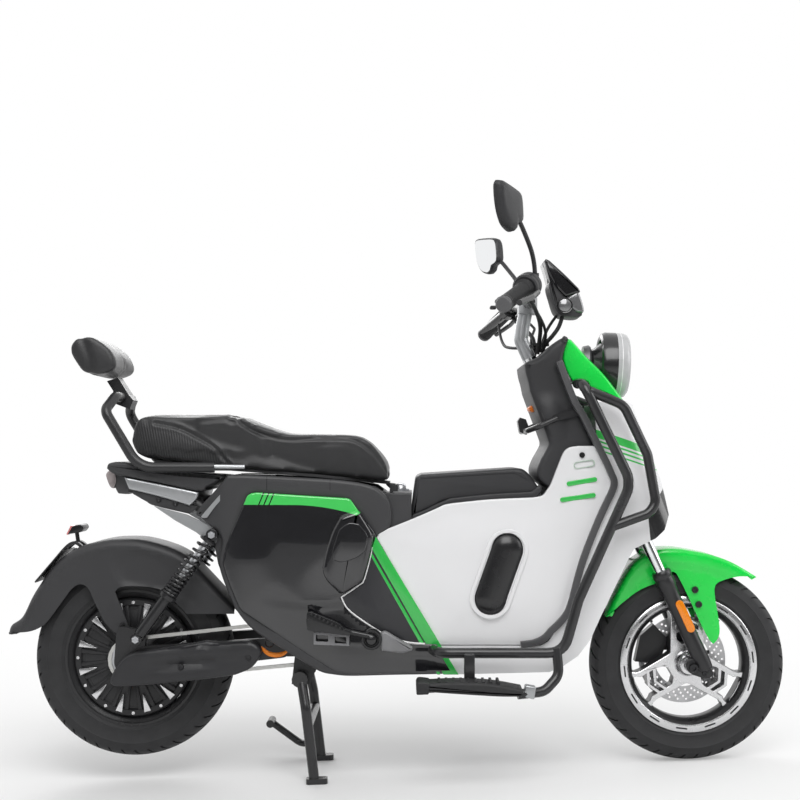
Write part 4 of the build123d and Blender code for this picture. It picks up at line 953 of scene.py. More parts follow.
red_lens.feed(Base_Color=red_cells.tint(red_light, red_dark))
red_lens.bump(red_cells, 0.0006, 0.5)
reflector = slab("reflector", mm((-150, 498), (-145, 497), (-135, 517), (-140, 518)), -0.026, 0.026)
bevelled(reflector, 0.0015, 3)
red_lens.on(reflector)
bracket = park(done(joined("number_plate_bracket", [number_plate, *plate_arms, plate_stalk, holder, reflector]), 35))
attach(bracket, "chassis")
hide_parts("plate_bracket")


# Tail unit: a black cover over the rack, silver painted side fillets, and a
# black tray below with two fixing holes, under the seat's tail.
body_plastic = moulded_plastic("body_moulding", (0.036, 0.036, 0.038), 0.46)
body_plastic.on(frame["nodes"]["rear_body"])
body_plastic.on(frame["nodes"]["seat_base"])
silver = Finish("silver_paint", (0.42, 0.43, 0.44), 0.36, Metallic=0.85)
silver_flake = silver.place.noise(1800, 1)
silver.feed(Roughness=0.3 + silver.place.noise(30, 3) * 0.15)
silver.bump(silver_flake, 0.0001, 0.2)
tail_cover_outline = flow(
    mm((-42, 645), (-38, 655), (-24, 659)),
    mm((-24, 659), (8, 657), (60, 642), (128, 634), (201, 629)),
    mm((201, 629), (206, 622), (172, 604)),
    mm((172, 604), (156, 596), (70, 614), (-8, 629)),
    mm((-8, 629), (-30, 634), (-42, 645)),
)
tail_cover = slab("tail_cover", tail_cover_outline, -0.112, 0.112)
rolled_edge(tail_cover, -0.112, 0.007)
rolled_edge(tail_cover, 0.112, 0.007)
tail_tray = slab("tail_tray", flow(mm((12, 590), (40, 574), (60, 564), (133, 547)), mm((133, 547), (150, 560), (139, 566), (12, 600))), -0.098, 0.098)
bevelled(tail_tray, 0.004, 3)
tray_holes = []
for side in (-1, 1):
    for x, z in ((0.068, 0.577), (0.104, 0.569)):
        hole = turned("tray_hole", [(side * 0.0975, 0.0005), (side * 0.0975, 0.0055), (side * 0.0992, 0.0062), (side * 0.0992, 0.0044), (side * 0.0978, 0.0005)], (x, 0, z), 20)
        arm_bolt_finish.on(hole)
        tray_holes.append(hole)
for piece in (tail_cover, tail_tray):
    body_plastic.on(piece)
tail_fillet = slab("tail_fillet", flow(mm((-6, 627), (70, 612), (156, 594)), mm((156, 594), (150, 578), (136, 564)), mm((136, 564), (70, 584), (5, 600)), mm((5, 600), (-6, 627))), -0.106, 0.106)
rolled_edge(tail_fillet, -0.106, 0.005)
rolled_edge(tail_fillet, 0.106, 0.005)
silver.on(tail_fillet)
tail = park(done(joined("tail_unit_covers", [tail_cover, tail_tray, tail_fillet, *tray_holes]), 35))
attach(tail, "chassis")
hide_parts("tail_unit")


# Tail lamp: a smoky lens with a slight red tint, its ribs not drawn, clipped to a
# grey box at the back of the tail, with a red reflex panel at its back edge.
strip_grey = moulded_plastic("strip_moulding", (0.075, 0.075, 0.078), 0.4)
clear_lens = Finish("clear_lens", (0.34, 0.30, 0.30), 0.12, Coat_Weight=0.8)
clear_cells = clear_lens.place.noise(60, 3)
clear_dark, clear_light = shades((0.34, 0.30, 0.30), 0.6, 1.5)
clear_lens.feed(Base_Color=clear_cells.tint(clear_dark, clear_light))
# The reflex panel takes the red lens finish, with its faint painted glow.
reflex = slab("lamp_reflex", mm((-57, 628), (-51, 638), (-50, 632), (-55, 624)), -0.030, 0.030)
red_lens.on(reflex)
lamp_lens = slab("lamp_lens", flow(mm((-53, 636), (-46, 641), (-40, 640)), mm((-40, 640), (-34, 620), (-40, 600)), mm((-40, 600), (-48, 606), (-56, 628), (-53, 636))), -0.052, 0.052)
bevelled(lamp_lens, 0.003, 4)
clear_lens.on(lamp_lens)
lamp_box = slab("lamp_box", flow(mm((-42, 641), (-12, 631), (2, 606)), mm((2, 606), (-2, 589), (-30, 589)), mm((-30, 589), (-37, 604), (-42, 641))), -0.048, 0.048)
bevelled(lamp_box, 0.003, 3)
strip_grey.on(lamp_box)
tail_lamp = park(done(joined("tail_lamp_lens", [lamp_lens, lamp_box, reflex]), 35))
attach(tail_lamp, "chassis")
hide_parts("tail_lamp")


# Rear arms: two pressed steel brackets, painted silver, that carry the top of
# the shock absorbers and the tail.
silver.on(frame["nodes"]["rear_arms"])


# Rear surround: the grey moulding round the rear panel on each side, rolled at
# its edges, with fine parting lines in its top and a silver arc at its back.
surround_near = 0.112
surround_far = 0.131
surround_outline = flow(
    mm((219, 631), (260, 631), (305, 629)),
    mm((305, 629), (447, 621), (515, 611), (545, 597), (563, 578), (569, 555), (567, 527), (556, 512), (537, 502)),
    mm((537, 502), (700, 216)),
    mm((700, 216), (690, 208), (565, 205), (480, 203), (445, 206)),
    mm((445, 206), (413, 214), (352, 251), (273, 302), (236, 346)),
    mm((236, 346), (222, 378), (206, 420), (200, 452), (207, 486), (203, 502), (196, 512)),
    mm((196, 512), (176, 528), (158, 543)),
    mm((158, 543), (152, 549), (168, 572), (198, 604), (219, 631)),
)
surround = slab("rear_surround", surround_outline, -surround_near, -surround_far)
rolled_edge(surround, -surround_far, 0.007)
gridded(surround, 0.014)
surround_hollow = flow(
    mm((262, 600), (470, 588)),
    mm((470, 588), (494, 560), (532, 512), (530, 490)),
    mm((530, 490), (560, 440), (690, 216)),
    mm((690, 216), (560, 214), (485, 213), (450, 219)),
    mm((450, 219), (388, 258), (262, 342)),
    mm((262, 342), (246, 358), (220, 425), (216, 452), (228, 490), (262, 600)),
)
for corner in surround.data.vertices:
    x, y, z = corner.co
    share = (-y - surround_near) / (surround_far - surround_near)
    corner.co.y += share * (0.008 * eased(inward(surround_hollow, x, z) / 0.012 + 0.2) + 0.010 * eased((0.215 - x) / 0.05))
surround_plastic = moulded_plastic("surround_moulding", (0.040, 0.040, 0.042), 0.42)
parting = surround_plastic.place.part("X").within(0.3026, 0.3040, 0.0005) + surround_plastic.place.part("X").within(0.4372, 0.4386, 0.0005)
parting = parting * surround_plastic.place.part("Z").past(0.598, 0.002)
surround_shade, surround_dark = shades((0.040, 0.040, 0.042), 1.0, 0.12)
surround_plastic.feed(Base_Color=parting.tint(surround_shade, surround_dark))
surround_plastic.on(surround)
surround_arc = ring("arc", [(x, -surround_far + 0.001, z) for x, z in flow(mm((228, 607), (205, 590), (180, 562)), mm((180, 562), (164, 542), (176, 540)), mm((176, 540), (192, 562), (214, 588), (228, 607)))], face=True)
open_all(surround_arc)
bpy.ops.mesh.extrude_region_move(TRANSFORM_OT_translate={"value": (0, -0.003, 0)})
bpy.ops.object.mode_set(mode="OBJECT")
tidy_mesh(surround_arc)
surround_arc.data.transform(Matrix.Translation((0, 0.0035, 0)))
silver.on(surround_arc)
surround = done(joined("rear_surround_right", [surround, surround_arc]), 35)
surround_left = park(copied(surround, "rear_surround_left", to_left))
park(surround)
for piece in (surround, surround_left):
    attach(piece, "chassis")


# Rear panels: gloss black ABS on each side with a green flash along its top, a
# raised scoop at its front corner and a crease low down.
gloss_colour = (0.006, 0.006, 0.007)
green_colour = (0.060, 0.56, 0.105)
gloss = Finish("gloss_abs", gloss_colour, 0.09, Coat_Weight=0.6, Specular_IOR_Level=0.6)
gloss_x = gloss.place.part("X")
gloss_z = gloss.place.part("Z")
band_low = (gloss_x - 0.36).maths("MULTIPLY", gloss_x - 0.36, gloss_x - 0.36) * -1.15
band_low = band_low * gloss_x.past(0.36, 0.01) + 0.569 - gloss_x * 0.004
front_cut = 0.5245 - (gloss_x - 0.459) * -0.60
slant = gloss_x + (gloss_z - 0.58) * -0.42
slashes = slant.within(0.2905, 0.2935) + slant.within(0.3015, 0.3045) + slant.within(0.3125, 0.3155)
band = (gloss_z - band_low).past(0, 0.001) * (gloss_z - front_cut).past(0, 0.001)
band = band * (1 - slashes)
green_shade, green_bright = shades(green_colour, 0.92, 1.06)
black_shade, black_bright = shades(gloss_colour, 1.0, 2.2)
wear = gloss.place.noise(22, 4)
green_paint = wear.tint(green_shade, green_bright)
gloss.feed(Base_Color=band.tint(wear.tint(black_shade, black_bright), green_paint), Roughness=0.07 + gloss.place.noise(60, 3) * 0.06)
gloss.bump(gloss.place.noise(5, 1), 0.0020, 0.12)
rear_panel_outline = flow(
    mm((257, 575), (262, 586), (270, 592), (282, 594)),
    mm((282, 594), (472, 582)),
    mm((472, 582), (482, 578), (496, 558)),
    mm((496, 558), (531, 512), (532, 503), (530, 492)),
    mm((530, 492), (523, 455), (510, 409), (500, 399)),
    mm((500, 399), (462, 372)),
    mm((462, 372), (475, 348), (506, 323), (556, 292), (599, 277), (640, 273)),
    mm((640, 273), (664, 272)),
    mm((664, 272), (700, 212)),
    mm((700, 212), (559, 209), (485, 207), (451, 213), (414, 235)),
    mm((414, 235), (388, 251), (258, 338)),
    mm((258, 338), (246, 350), (226, 396), (214, 430), (211, 452), (220, 489), (241, 538), (257, 575)),
)
scoop_outline = flow(
    mm((456, 538), (462, 545), (494, 556)),
    mm((494, 556), (502, 552), (526, 514), (530, 503)),
    mm((530, 503), (530, 492), (523, 455), (510, 410), (502, 400)),
    mm((502, 400), (474, 382), (464, 379), (456, 382)),
    mm((456, 382), (434, 404), (424, 420), (421, 436)),
    mm((421, 436), (428, 470), (442, 512), (456, 538)),
)
scoop_hollow = flow(
    mm((458, 516), (478, 530), (500, 528)),
    mm((500, 528), (516, 508), (519, 494), (513, 470)),
    mm((513, 470), (494, 456), (464, 447), (446, 452)),
    mm((446, 452), (444, 472), (458, 516)),
)
panel_near = 0.120
panel_far = 0.1365
rear_panel = slab("rear_panel", rear_panel_outline, -panel_near, -panel_far)
rolled_edge(rear_panel, -panel_far, 0.004)
gridded(rear_panel, 0.008)
for corner in rear_panel.data.vertices:
    x, y, z = corner.co
    share = (-y - panel_near) / (panel_far - panel_near)
    crown = 0.006 * eased(inward(rear_panel_outline, x, z) / 0.10)
    crease_line = 0.368 - 0.010 * math.sin((x - 0.30) * 16)
    crease = eased((crease_line - z) / 0.012) * eased((0.50 - x) / 0.05) * eased((x - 0.28) / 0.06)
    foot = eased((0.268 - z) / 0.012) * eased((x - 0.44) / 0.04)
    corner.co.y -= share * (crown - 0.004 * crease - 0.003 * foot)
scoop = slab("rear_scoop", scoop_outline, -panel_near, -panel_far - 0.010)
rolled_edge(scoop, -panel_far - 0.010, 0.011, 6)
scoop_inner = ring("scoop_inner", [(x, -panel_far - 0.0085, z) for x, z in scoop_hollow], face=True)
open_all(scoop_inner)
bpy.ops.mesh.extrude_region_move(TRANSFORM_OT_translate={"value": (0, -0.0035, 0)})
bpy.ops.object.mode_set(mode="OBJECT")
tidy_mesh(scoop_inner)
rolled_edge(scoop_inner, -panel_far - 0.012, 0.0025, 4)
rear_panel = joined("rear_panel", [rear_panel, scoop, scoop_inner])
gloss.on(rear_panel)
rear_panel_left = park(copied(done(rear_panel, 30), "gloss_panel_left_skin", to_left))
rear_panel.name = "gloss_panel_right_skin"
park(rear_panel)
for piece, side in ((rear_panel, "right"), (rear_panel_left, "left")):
    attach(piece, "chassis")
    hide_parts("gloss_panel_" + side)


# Infill panels: satin black triangles in front of the gloss panels, edged with
# white piping, and the two green flashes that part them from the white side.
satin = moulded_plastic("satin_infill", (0.028, 0.028, 0.031), 0.34, 0.5)
infill_outline = flow(
    mm((533, 495), (535, 488)),
    mm((535, 488), (672, 270)),
    mm((672, 270), (640, 273), (599, 277), (556, 292), (506, 323), (475, 348), (462, 371)),
    mm((462, 371), (500, 398), (510, 407), (523, 454), (531, 490)),
)
infill = slab("infill_panel", infill_outline, -0.118, -0.1325)
rolled_edge(infill, -0.1325, 0.0015, 2)
satin.on(infill)
piping_white = Finish("white_trim", (0.78, 0.78, 0.78), 0.3, Coat_Weight=0.3)
piping_white.feed(Roughness=0.25 + piping_white.place.noise(50, 2) * 0.12)
piping_path = flow(mm((527, 478), (523, 455), (510, 408), (500, 398), (462, 371.5)), mm((462, 371.5), (475, 348), (506, 323), (556, 292), (599, 277), (640, 273)))
piping = bar("piping", [(x, -0.1345, z) for x, z in piping_path], 0.0017, smooth=False, sides=2)
piping_white.on(piping)


flash_colour = (0.035, 0.46, 0.075)
green_lacquer = Finish("green_lacquer", flash_colour, 0.18, Coat_Weight=0.4)
flash_dark, flash_light = shades(flash_colour, 0.92, 1.08)
green_depth = green_lacquer.place.noise(12, 3)
green_lacquer.feed(Base_Color=green_depth.tint(flash_dark, flash_light), Roughness=0.14 + green_lacquer.place.noise(80, 2) * 0.1)
wide_flash = slab("wide_flash", mm((535, 500), (711, 207), (679, 207), (527, 474), (530, 485)), -0.120, -0.1335)
thin_flash = slab("thin_flash", mm((523, 462), (526, 467), (670, 219), (672, 207), (666, 207)), -0.120, -0.1332)
for piece in (wide_flash, thin_flash):
    rolled_edge(piece, -0.1335 if piece is wide_flash else -0.1332, 0.001, 2)
    green_lacquer.on(piece)
infill = done(joined("infill_panel_right", [infill, piping, wide_flash, thin_flash]), 30)
infill_left = park(copied(infill, "infill_panel_left", to_left))
park(infill)
for piece in (infill, infill_left):
    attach(piece, "chassis")


# White side panels: glossy ABS from the footwell to the rear panel, gently
# crowned, with a soft crease, a black capsule insert in a raised rim, a screw
# and moulded green bars near the top.
white_colour = (0.76, 0.76, 0.77)
white_abs = Finish("white_abs", white_colour, 0.2, Coat_Weight=0.5)
white_tone = white_abs.place.noise(8, 3)
white_dark, white_light = shades(white_colour, 0.965, 1.0)
white_abs.feed(Base_Color=white_tone.tint(white_dark, white_light), Roughness=0.16 + white_abs.place.noise(50, 3) * 0.1)
strip_path = flow(mm((924, 873), (939, 833), (957, 788), (975, 758)), mm((975, 758), (1009, 690), (1026, 655), (1037, 630)), mm((1037, 630), (1041, 619), (1040, 606), (1034, 590)), mm((1034, 590), (1009, 537), (975, 450), (952, 366)), mm((952, 366), (943, 341), (928, 320), (908, 301)), mm((908, 301), (893, 285), (872, 275), (843, 271)))
side_outline = flow(
    mm((536, 497), (544, 510)),
    mm((544, 510), (607, 535), (663, 559), (680, 567), (700, 571)),
    mm((700, 571), (780, 579), (870, 583)),
    mm((870, 583), (889, 587), (900, 598), (908, 612)),
    mm((908, 612), (931, 671)),
    mm((931, 671), (937, 682), (948, 690), (966, 693)),
    mm((966, 693), (1002, 693)),
    mm((1002, 693), (1012, 688), (1026, 655), (1037, 630), (1041, 619), (1040, 606), (1034, 590)),
    mm((1034, 590), (1009, 537), (975, 450), (952, 366)),
    mm((952, 366), (943, 341), (928, 320), (908, 301), (893, 285), (872, 273), (843, 269)),
    mm((843, 269), (670, 269)),
    mm((670, 269), (536, 497)),
)
side_near = 0.114
side_far = 0.1285
capsule_low = Vector((0.7785, 0, 0.371))
capsule_top = Vector((0.8145, 0, 0.472))
side_panel = slab("side_panel", side_outline, -side_near, -side_far)
rolled_edge(side_panel, -side_far, 0.003)
gridded(side_panel, 0.012)


def crease_height(x):
    """The height of the soft crease along the white panel."""
    return 0.478 + 0.062 * eased((x - 0.55) / 0.2)


for corner in side_panel.data.vertices:
    x, y, z = corner.co
    share = (-y - side_near) / (side_far - side_near)
    rim = eased(inward(side_outline, x, z) / 0.11)
    upper = eased((z - crease_height(x)) / 0.030) * eased((0.90 - x) / 0.16)
    corner.co.y -= share * (0.010 * rim - 0.010 * upper * rim)
white_abs.on(side_panel)


def pill(low, top, radius, count=12):
    """The outline of a bar with round ends between two places in the side view."""
    slope = math.atan2(top.z - low.z, top.x - low.x)
    end = [slope - math.pi / 2 + math.pi * i / count for i in range(count + 1)]
    outline = [(top.x + radius * math.cos(turn), top.z + radius * math.sin(turn)) for turn in end]
    return outline + [(low.x + radius * math.cos(turn + math.pi), low.z + radius * math.sin(turn + math.pi)) for turn in end]


capsule_rim = plate("capsule_rim", [pill(capsule_low, capsule_top, 0.0445, 16), pill(capsule_low, capsule_top, 0.0365, 16)], -0.126, -0.1425)
bevelled(capsule_rim, 0.0035, 4)
white_abs.on(capsule_rim)
capsule = slab("capsule", pill(capsule_low, capsule_top, 0.0363, 16), -0.126, -0.136)
open_up(capsule, "FACE", lambda middle, normal: middle.y < -0.1355)
for lift in (0.0050, 0.0036, 0.0024, 0.0015, 0.0008, 0.0003):
    bpy.ops.mesh.inset(thickness=0.0055, depth=0)
    bpy.ops.transform.translate(value=(0, -lift, 0))
bpy.ops.object.mode_set(mode="OBJECT")
capsule_black = Finish("capsule_black", (0.012, 0.012, 0.013), 0.28, Specular_IOR_Level=0.5)
capsule_black.feed(Roughness=0.20 + capsule_black.place.noise(40, 3) * 0.12)
capsule_black.on(capsule)
side_screw = bolt("side_screw", (0.9735, -0.1310, 0.6735), 0.006, 0.003)
arm_bolt_finish.on(side_screw)
bars = []
for low, top, radius in (((0.946, 0.6125), (1.000, 0.6215), 0.0053), ((0.932, 0.5785), (0.997, 0.588), 0.0053)):
    green_bar = slab("green_bar", pill(Vector((low[0], 0, low[1])), Vector((top[0], 0, top[1])), radius), -0.126, -0.1345)
    bevelled(green_bar, 0.0012, 2)
    green_lacquer.on(green_bar)
    bars.append(green_bar)
slot_low = Vector((0.963, 0, 0.6515))
slot_top = Vector((0.993, 0, 0.6565))
slot_rim = plate("slot_rim", [pill(slot_low, slot_top, 0.0072), pill(slot_low, slot_top, 0.0060)], -0.126, -0.1338)
rim_grey = Finish("slot_grey", (0.42, 0.55, 0.44), 0.3)
rim_grey.feed(Roughness=0.25 + rim_grey.place.noise(60, 2) * 0.1)
rim_grey.on(slot_rim)
side_strip = slab("side_strip", ribbon(strip_path, 0.014), -0.118, -0.1415)
rolled_edge(side_strip, -0.1415, 0.002, 3)
strip_grey.on(side_strip)
side_skin = done(joined("side_panel_right_skin", [side_panel, capsule_rim, capsule, side_screw, *bars, slot_rim, side_strip]), 28)
side_skin_left = park(copied(side_skin, "side_panel_left_skin", to_left))
park(side_skin)
for piece, side in ((side_skin, "right"), (side_skin_left, "left")):
    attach(piece, "chassis")
    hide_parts("side_panel_" + side)


# Front shield: white ABS round the head tube and down to the belly, with green
# stripes across each cheek and a black edge at its nose.
shield_white = Finish("shield_white", white_colour, 0.2, Coat_Weight=0.5)
shield_x = shield_white.place.part("X")
shield_z = shield_white.place.part("Z")
shield_y = shield_white.place.part("Y").size()
fall = shield_z + (shield_x - 1.05) * 0.33
stripes = fall.within(0.6955, 0.7125) + fall.within(0.6875, 0.6915) + fall.within(0.6785, 0.6825) + fall.within(0.6690, 0.6725)
stripes = stripes * shield_y.past(0.055, 0.002)
nose_edge = (shield_x + (shield_z - 0.5) * 0.10 - 1.1185).past(0, 0.001) * (1 - (shield_z - 0.575 + (shield_x - 1.13) * -1.2).past(0, 0.001))
shield_shade = shield_white.place.noise(8, 3).tint(white_dark, white_light)
shield_black = shades((0.02, 0.02, 0.021), 1.0, 1.5)[0]
painted = stripes.tint(shield_shade, green_shade)
shield_white.feed(Base_Color=nose_edge.tint(painted, shield_black), Roughness=0.16 + shield_white.place.noise(50, 3) * 0.1)
shield_white.on(frame["nodes"]["nose_panel"])


# Seat: vinyl over moulded foam on a plastic base, hinged at its nose. The cover
# is sewn from a smooth top, two sides and ribbed rear gores.
vinyl_colour = (0.017, 0.017, 0.018)
vinyl = Finish("seat_vinyl", vinyl_colour, 0.44, Specular_IOR_Level=0.45, Sheen_Weight=0.15)
vinyl_x = vinyl.place.part("X")
vinyl_z = vinyl.place.part("Z")
vinyl_grain = vinyl.place.node("ShaderNodeTexVoronoi", {"feature": "SMOOTH_F1"}, {"Vector": vinyl.place, "Scale": 620.0}, "Distance")
vinyl_cloud = vinyl.place.noise(24, 4)
vinyl_dark, vinyl_light = shades(vinyl_colour, 0.8, 1.35)
rib_field = vinyl_x + vinyl_z * 0.16 + vinyl.place.noise(9, 2) * 0.006
ribs = (rib_field * 1150).maths("SINE", rib_field * 1150)
gore = (0.705 - vinyl_x * 0.55 - vinyl_z).past(-0.085, 0.03) * (0.225 - vinyl_x).past(0, 0.04) * vinyl_z.past(0.655, 0.03) * (0.735 - vinyl_z).past(0, 0.03)
vinyl.feed(Base_Color=vinyl_cloud.tint(vinyl_dark, vinyl_light), Roughness=0.36 + vinyl_cloud * 0.18)
vinyl.bump(vinyl_grain * 0.35 + ribs * gore * 0.8, 0.0007, 0.5)
seat_outline = flow(
    mm((5, 700), (9, 730), (22, 752), (48, 757)),
    mm((48, 757), (212, 757)),
    mm((212, 757), (250, 749), (332, 720), (397, 714), (480, 712), (512, 706), (532, 692), (556, 658), (567, 630)),
    mm((567, 630), (564, 620), (545, 619)),
    mm((545, 619), (404, 632), (225, 647), (146, 656), (42, 669)),
    mm((42, 669), (18, 676), (5, 700)),
)
seat_half = 0.104
seat_start = slab("seat_cushion", seat_outline, -seat_half, seat_half)
for corner in seat_start.data.vertices:
    x, y, z = corner.co
    corner.co.y *= 1 - 0.22 * eased((x - 0.22) / 0.35) - 0.08 * eased((0.09 - x) / 0.1)
rim_width = 0.024
open_up(seat_start, "EDGE", lambda middle, along: abs(along.y) < 0.001)
bpy.ops.mesh.bevel(offset=rim_width, segments=5, profile=0.5, clamp_overlap=True)
bpy.ops.object.mode_set(mode="OBJECT")


def stuffed(piece, voxel, pressure, cap):
    """Blows a closed cover up over its foam and stops each place at a greatest swell."""
    modified(piece, "REMESH", mode="VOXEL", voxel_size=voxel, use_smooth_shade=True)
    modified(piece, "SMOOTH", factor=0.5, iterations=4)
    before = [corner.co.copy() for corner in piece.data.vertices]
    let_go()
    piece.select_set(True)
    bpy.context.view_layer.objects.active = piece
    cover = piece.modifiers.new("cover", "CLOTH")
    cover.settings.use_pressure = True
    cover.settings.uniform_pressure_force = pressure
    cover.settings.quality = 4
    cover.settings.tension_stiffness = 12
    cover.settings.compression_stiffness = 12
    cover.settings.bending_stiffness = 1.5
    cover.settings.effector_weights.gravity = 0
    cover.point_cache.frame_start = 1
    cover.point_cache.frame_end = 20
    for frame_number in range(1, 21):
        bpy.context.scene.frame_set(frame_number)
    bpy.ops.object.modifier_apply(modifier=cover.name)
    bpy.context.scene.frame_set(1)
    for corner, start in zip(piece.data.vertices, before):
        swell = corner.co - start
        corner.co = start + swell * min(1, cap / max(swell.length, 1e-6))
    return modified(piece, "SUBSURF", levels=1, render_levels=1)


stuffed(seat_start, 0.006, 4, 0.004)
seat_seams = [
    flow(mm((60, 742), (110, 731.5), (154.6, 710), (189, 688.5), (206, 667), (221, 650))),
    flow(mm((222, 759), (234, 757), (251, 738), (283, 720.7), (322, 709), (358, 706), (404, 709), (470, 709), (500, 700), (530, 676), (556, 640), (568, 618))),
]


def off_path(path, x, z):
    """The distance of a place in the side view from an open path."""
    nearest = 9.0
    for (ax, az), (bx, bz) in zip(path, path[1:]):
        run = (bx - ax) ** 2 + (bz - az) ** 2
        share = max(0, min(1, ((x - ax) * (bx - ax) + (z - az) * (bz - az)) / run))
        nearest = min(nearest, math.hypot(x - ax - share * (bx - ax), z - az - share * (bz - az)))
    return nearest


open_all(seat_start)
bpy.ops.object.mode_set(mode="OBJECT")
sink = []
for corner in seat_start.data.vertices:
    x, y, z = corner.co
    depth = 0
    if abs(y) > 0.05:
        for path in seat_seams:
            away = off_path(path, x, z)
            depth += 0.0030 * math.exp(-((away / 0.0035) ** 2)) - 0.0012 * math.exp(-(((away - 0.007) / 0.004) ** 2))
    sink.append(corner.normal * depth)
for corner, move in zip(seat_start.data.vertices, sink):
    corner.co -= move
vinyl.on(seat_start)
done(seat_start, 80)
park(seat_start)
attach(seat_start, "seat")
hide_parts("seat")


# Backrest pad: foam under the same vinyl, with a soft crease down its middle,
# on a steel post that is clamped to the grab rail.
pad_outline = flow(
    mm((-122, 908), (-110, 924), (-90, 929), (-72, 926)),
    mm((-72, 926), (-52, 913), (-36, 898), (-26, 880), (-24, 866), (-30, 856), (-52, 848), (-78, 846)),
    mm((-78, 846), (-96, 854), (-108, 870), (-120, 890), (-122, 908)),
)
pad_half = 0.103
pad_start = slab("backrest_cushion", pad_outline, -pad_half, pad_half)
open_up(pad_start, "EDGE", lambda middle, along: abs(along.y) < 0.001)
bpy.ops.mesh.bevel(offset=0.020, segments=5, profile=0.5, clamp_overlap=True)
bpy.ops.object.mode_set(mode="OBJECT")
stuffed(pad_start, 0.005, 4, 0.004)
pad_crease = flow(mm((-100, 930), (-88, 905), (-80, 875), (-78, 846)))
sink = []
for corner in pad_start.data.vertices:
    x, y, z = corner.co
    depth = 0.0028 * math.exp(-((off_path(pad_crease, x, z) / 0.009) ** 2)) if abs(y) > 0.06 else 0
    sink.append(corner.normal * depth)
for corner, move in zip(pad_start.data.vertices, sink):
    corner.co -= move
pad_vinyl = Finish("backrest_vinyl", vinyl_colour, 0.44, Specular_IOR_Level=0.45, Sheen_Weight=0.15)
pad_cloud = pad_vinyl.place.noise(24, 4)
pad_grain = pad_vinyl.place.node("ShaderNodeTexVoronoi", {"feature": "SMOOTH_F1"}, {"Vector": pad_vinyl.place, "Scale": 620.0}, "Distance")
pad_vinyl.feed(Base_Color=pad_cloud.tint(vinyl_dark, vinyl_light), Roughness=0.34 + pad_cloud * 0.18)
pad_vinyl.bump(pad_grain, 0.0003, 0.4)
pad_vinyl.on(pad_start)
park(done(pad_start, 80))
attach(pad_start, "chassis")
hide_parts("backrest_pad")


# Grab rail: bent steel tube in satin black, with the backrest's clamp, and a
# bright rod on each side that reaches under the seat.
black_coat.on(frame["nodes"]["backrest_frame"])
rods = [bar("rail_rod", [(0.185, side * 0.128, 0.649), (0.255, side * 0.120, 0.648)], 0.005) for side in (-1, 1)]
for rod in rods:
    silver.on(rod)
rods = park(done(joined("grab_rail_rods", rods), 40))
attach(rods, "chassis")


# Leg shield: the black moulding round the steering column, with rolled edges,
# an oval swelling on each side, an open top for the stem and an orange seal
# over the charging socket.
shield_plastic = moulded_plastic("shield_moulding", (0.026, 0.026, 0.028), 0.48)
shield_outline = flow(
    mm((853, 868), (856, 849), (861, 831), (865, 811)),
    mm((865, 811), (884, 759), (900, 717), (905, 698), (898, 682), (888, 664), (880, 642), (884, 622), (903, 604)),
    mm((903, 604), (925, 520)),
    mm((925, 520), (1000, 520), (1028, 590), (1034, 625)),
    mm((1034, 625), (1002, 700), (962, 788), (944, 830)),
    mm((944, 830), (936, 860), (936, 884), (944, 912), (948, 922)),
    mm((948, 922), (938, 926), (914, 912), (884, 885), (858, 873), (853, 868)),
)
shield_half = 0.112
shield = slab("leg_shield_moulding", shield_outline, -shield_half, shield_half)
rolled_edge(shield, -shield_half, 0.011, 5)
rolled_edge(shield, shield_half, 0.011, 5)
gridded(shield, 0.012)
for side in (-1, 1):
    open_all(shield)
    bpy.ops.mesh.bisect(plane_co=(0, side * 0.05, 0), plane_no=(0, 1, 0))
    bpy.ops.object.mode_set(mode="OBJECT")


def over_column(middle, normal):
    return middle.z > 0.873 + 0.62 * (middle.x - 0.862) - 0.012 and abs(middle.y) < 0.05 and 0.862 < middle.x < 0.935 and abs(normal.y) < 0.5


open_up(shield, "FACE", over_column)
bpy.ops.mesh.delete(type="FACE")
bpy.ops.object.mode_set(mode="OBJECT")
for corner in shield.data.vertices:
    x, y, z = corner.co
    if abs(y) > shield_half - 0.001:
        along = (z - 0.757) * 0.95 - (x - 0.910) * 0.31
        across = (x - 0.910) * 0.95 + (z - 0.757) * 0.31
        swell = max(0, 1 - (along / 0.046) ** 2 - (across / 0.026) ** 2)
        corner.co.y += math.copysign(0.010 * swell**0.6, y)
modified(shield, "SOLIDIFY", thickness=0.003, offset=-1)
shield_plastic.on(shield)
orange = Finish("orange_seal", (0.85, 0.20, 0.01), 0.4)
orange.feed(Roughness=0.35 + orange.place.noise(80, 2) * 0.15)
seal = slab("socket_seal", flow(mm((874, 778), (884, 784), (890, 777)), mm((890, 777), (884, 768), (876, 771), (874, 778))), -0.030, 0.030)
seal.data.transform(Matrix.Translation((-0.004, 0, 0)))
bevelled(seal, 0.002, 2)
orange.on(seal)
shield = park(done(joined("leg_shield_moulding", [shield, seal]), 35))
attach(shield, "chassis")
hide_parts("leg_shield")


# Tunnel lid: the battery cover between seat and shield, a long black box with
# rounded edges and a lip round its foot, and the seat latch behind it.
lid_outline = flow(
    mm((612, 540), (611, 556), (618, 612), (622, 626), (632, 632)),
    mm((632, 632), (834, 645)),
    mm((834, 645), (850, 643), (866, 630), (880, 610), (886, 600)),
    mm((886, 600), (878, 588), (866, 584)),
    mm((866, 584), (694, 574), (664, 562), (612, 540)),
)
lid = slab("tunnel_lid_cover", lid_outline, -0.104, 0.104)
rolled_edge(lid, -0.104, 0.009, 5)
rolled_edge(lid, 0.104, 0.009, 5)
lid_skirt = slab("lid_skirt", flow(mm((612, 534), (614, 545), (640, 556), (664, 568), (694, 581)), mm((694, 581), (780, 590), (868, 595)), mm((868, 595), (884, 606), (890, 598), (876, 578)), mm((876, 578), (694, 566), (664, 556), (612, 534))), -0.114, 0.114)
rolled_edge(lid_skirt, -0.114, 0.003, 3)
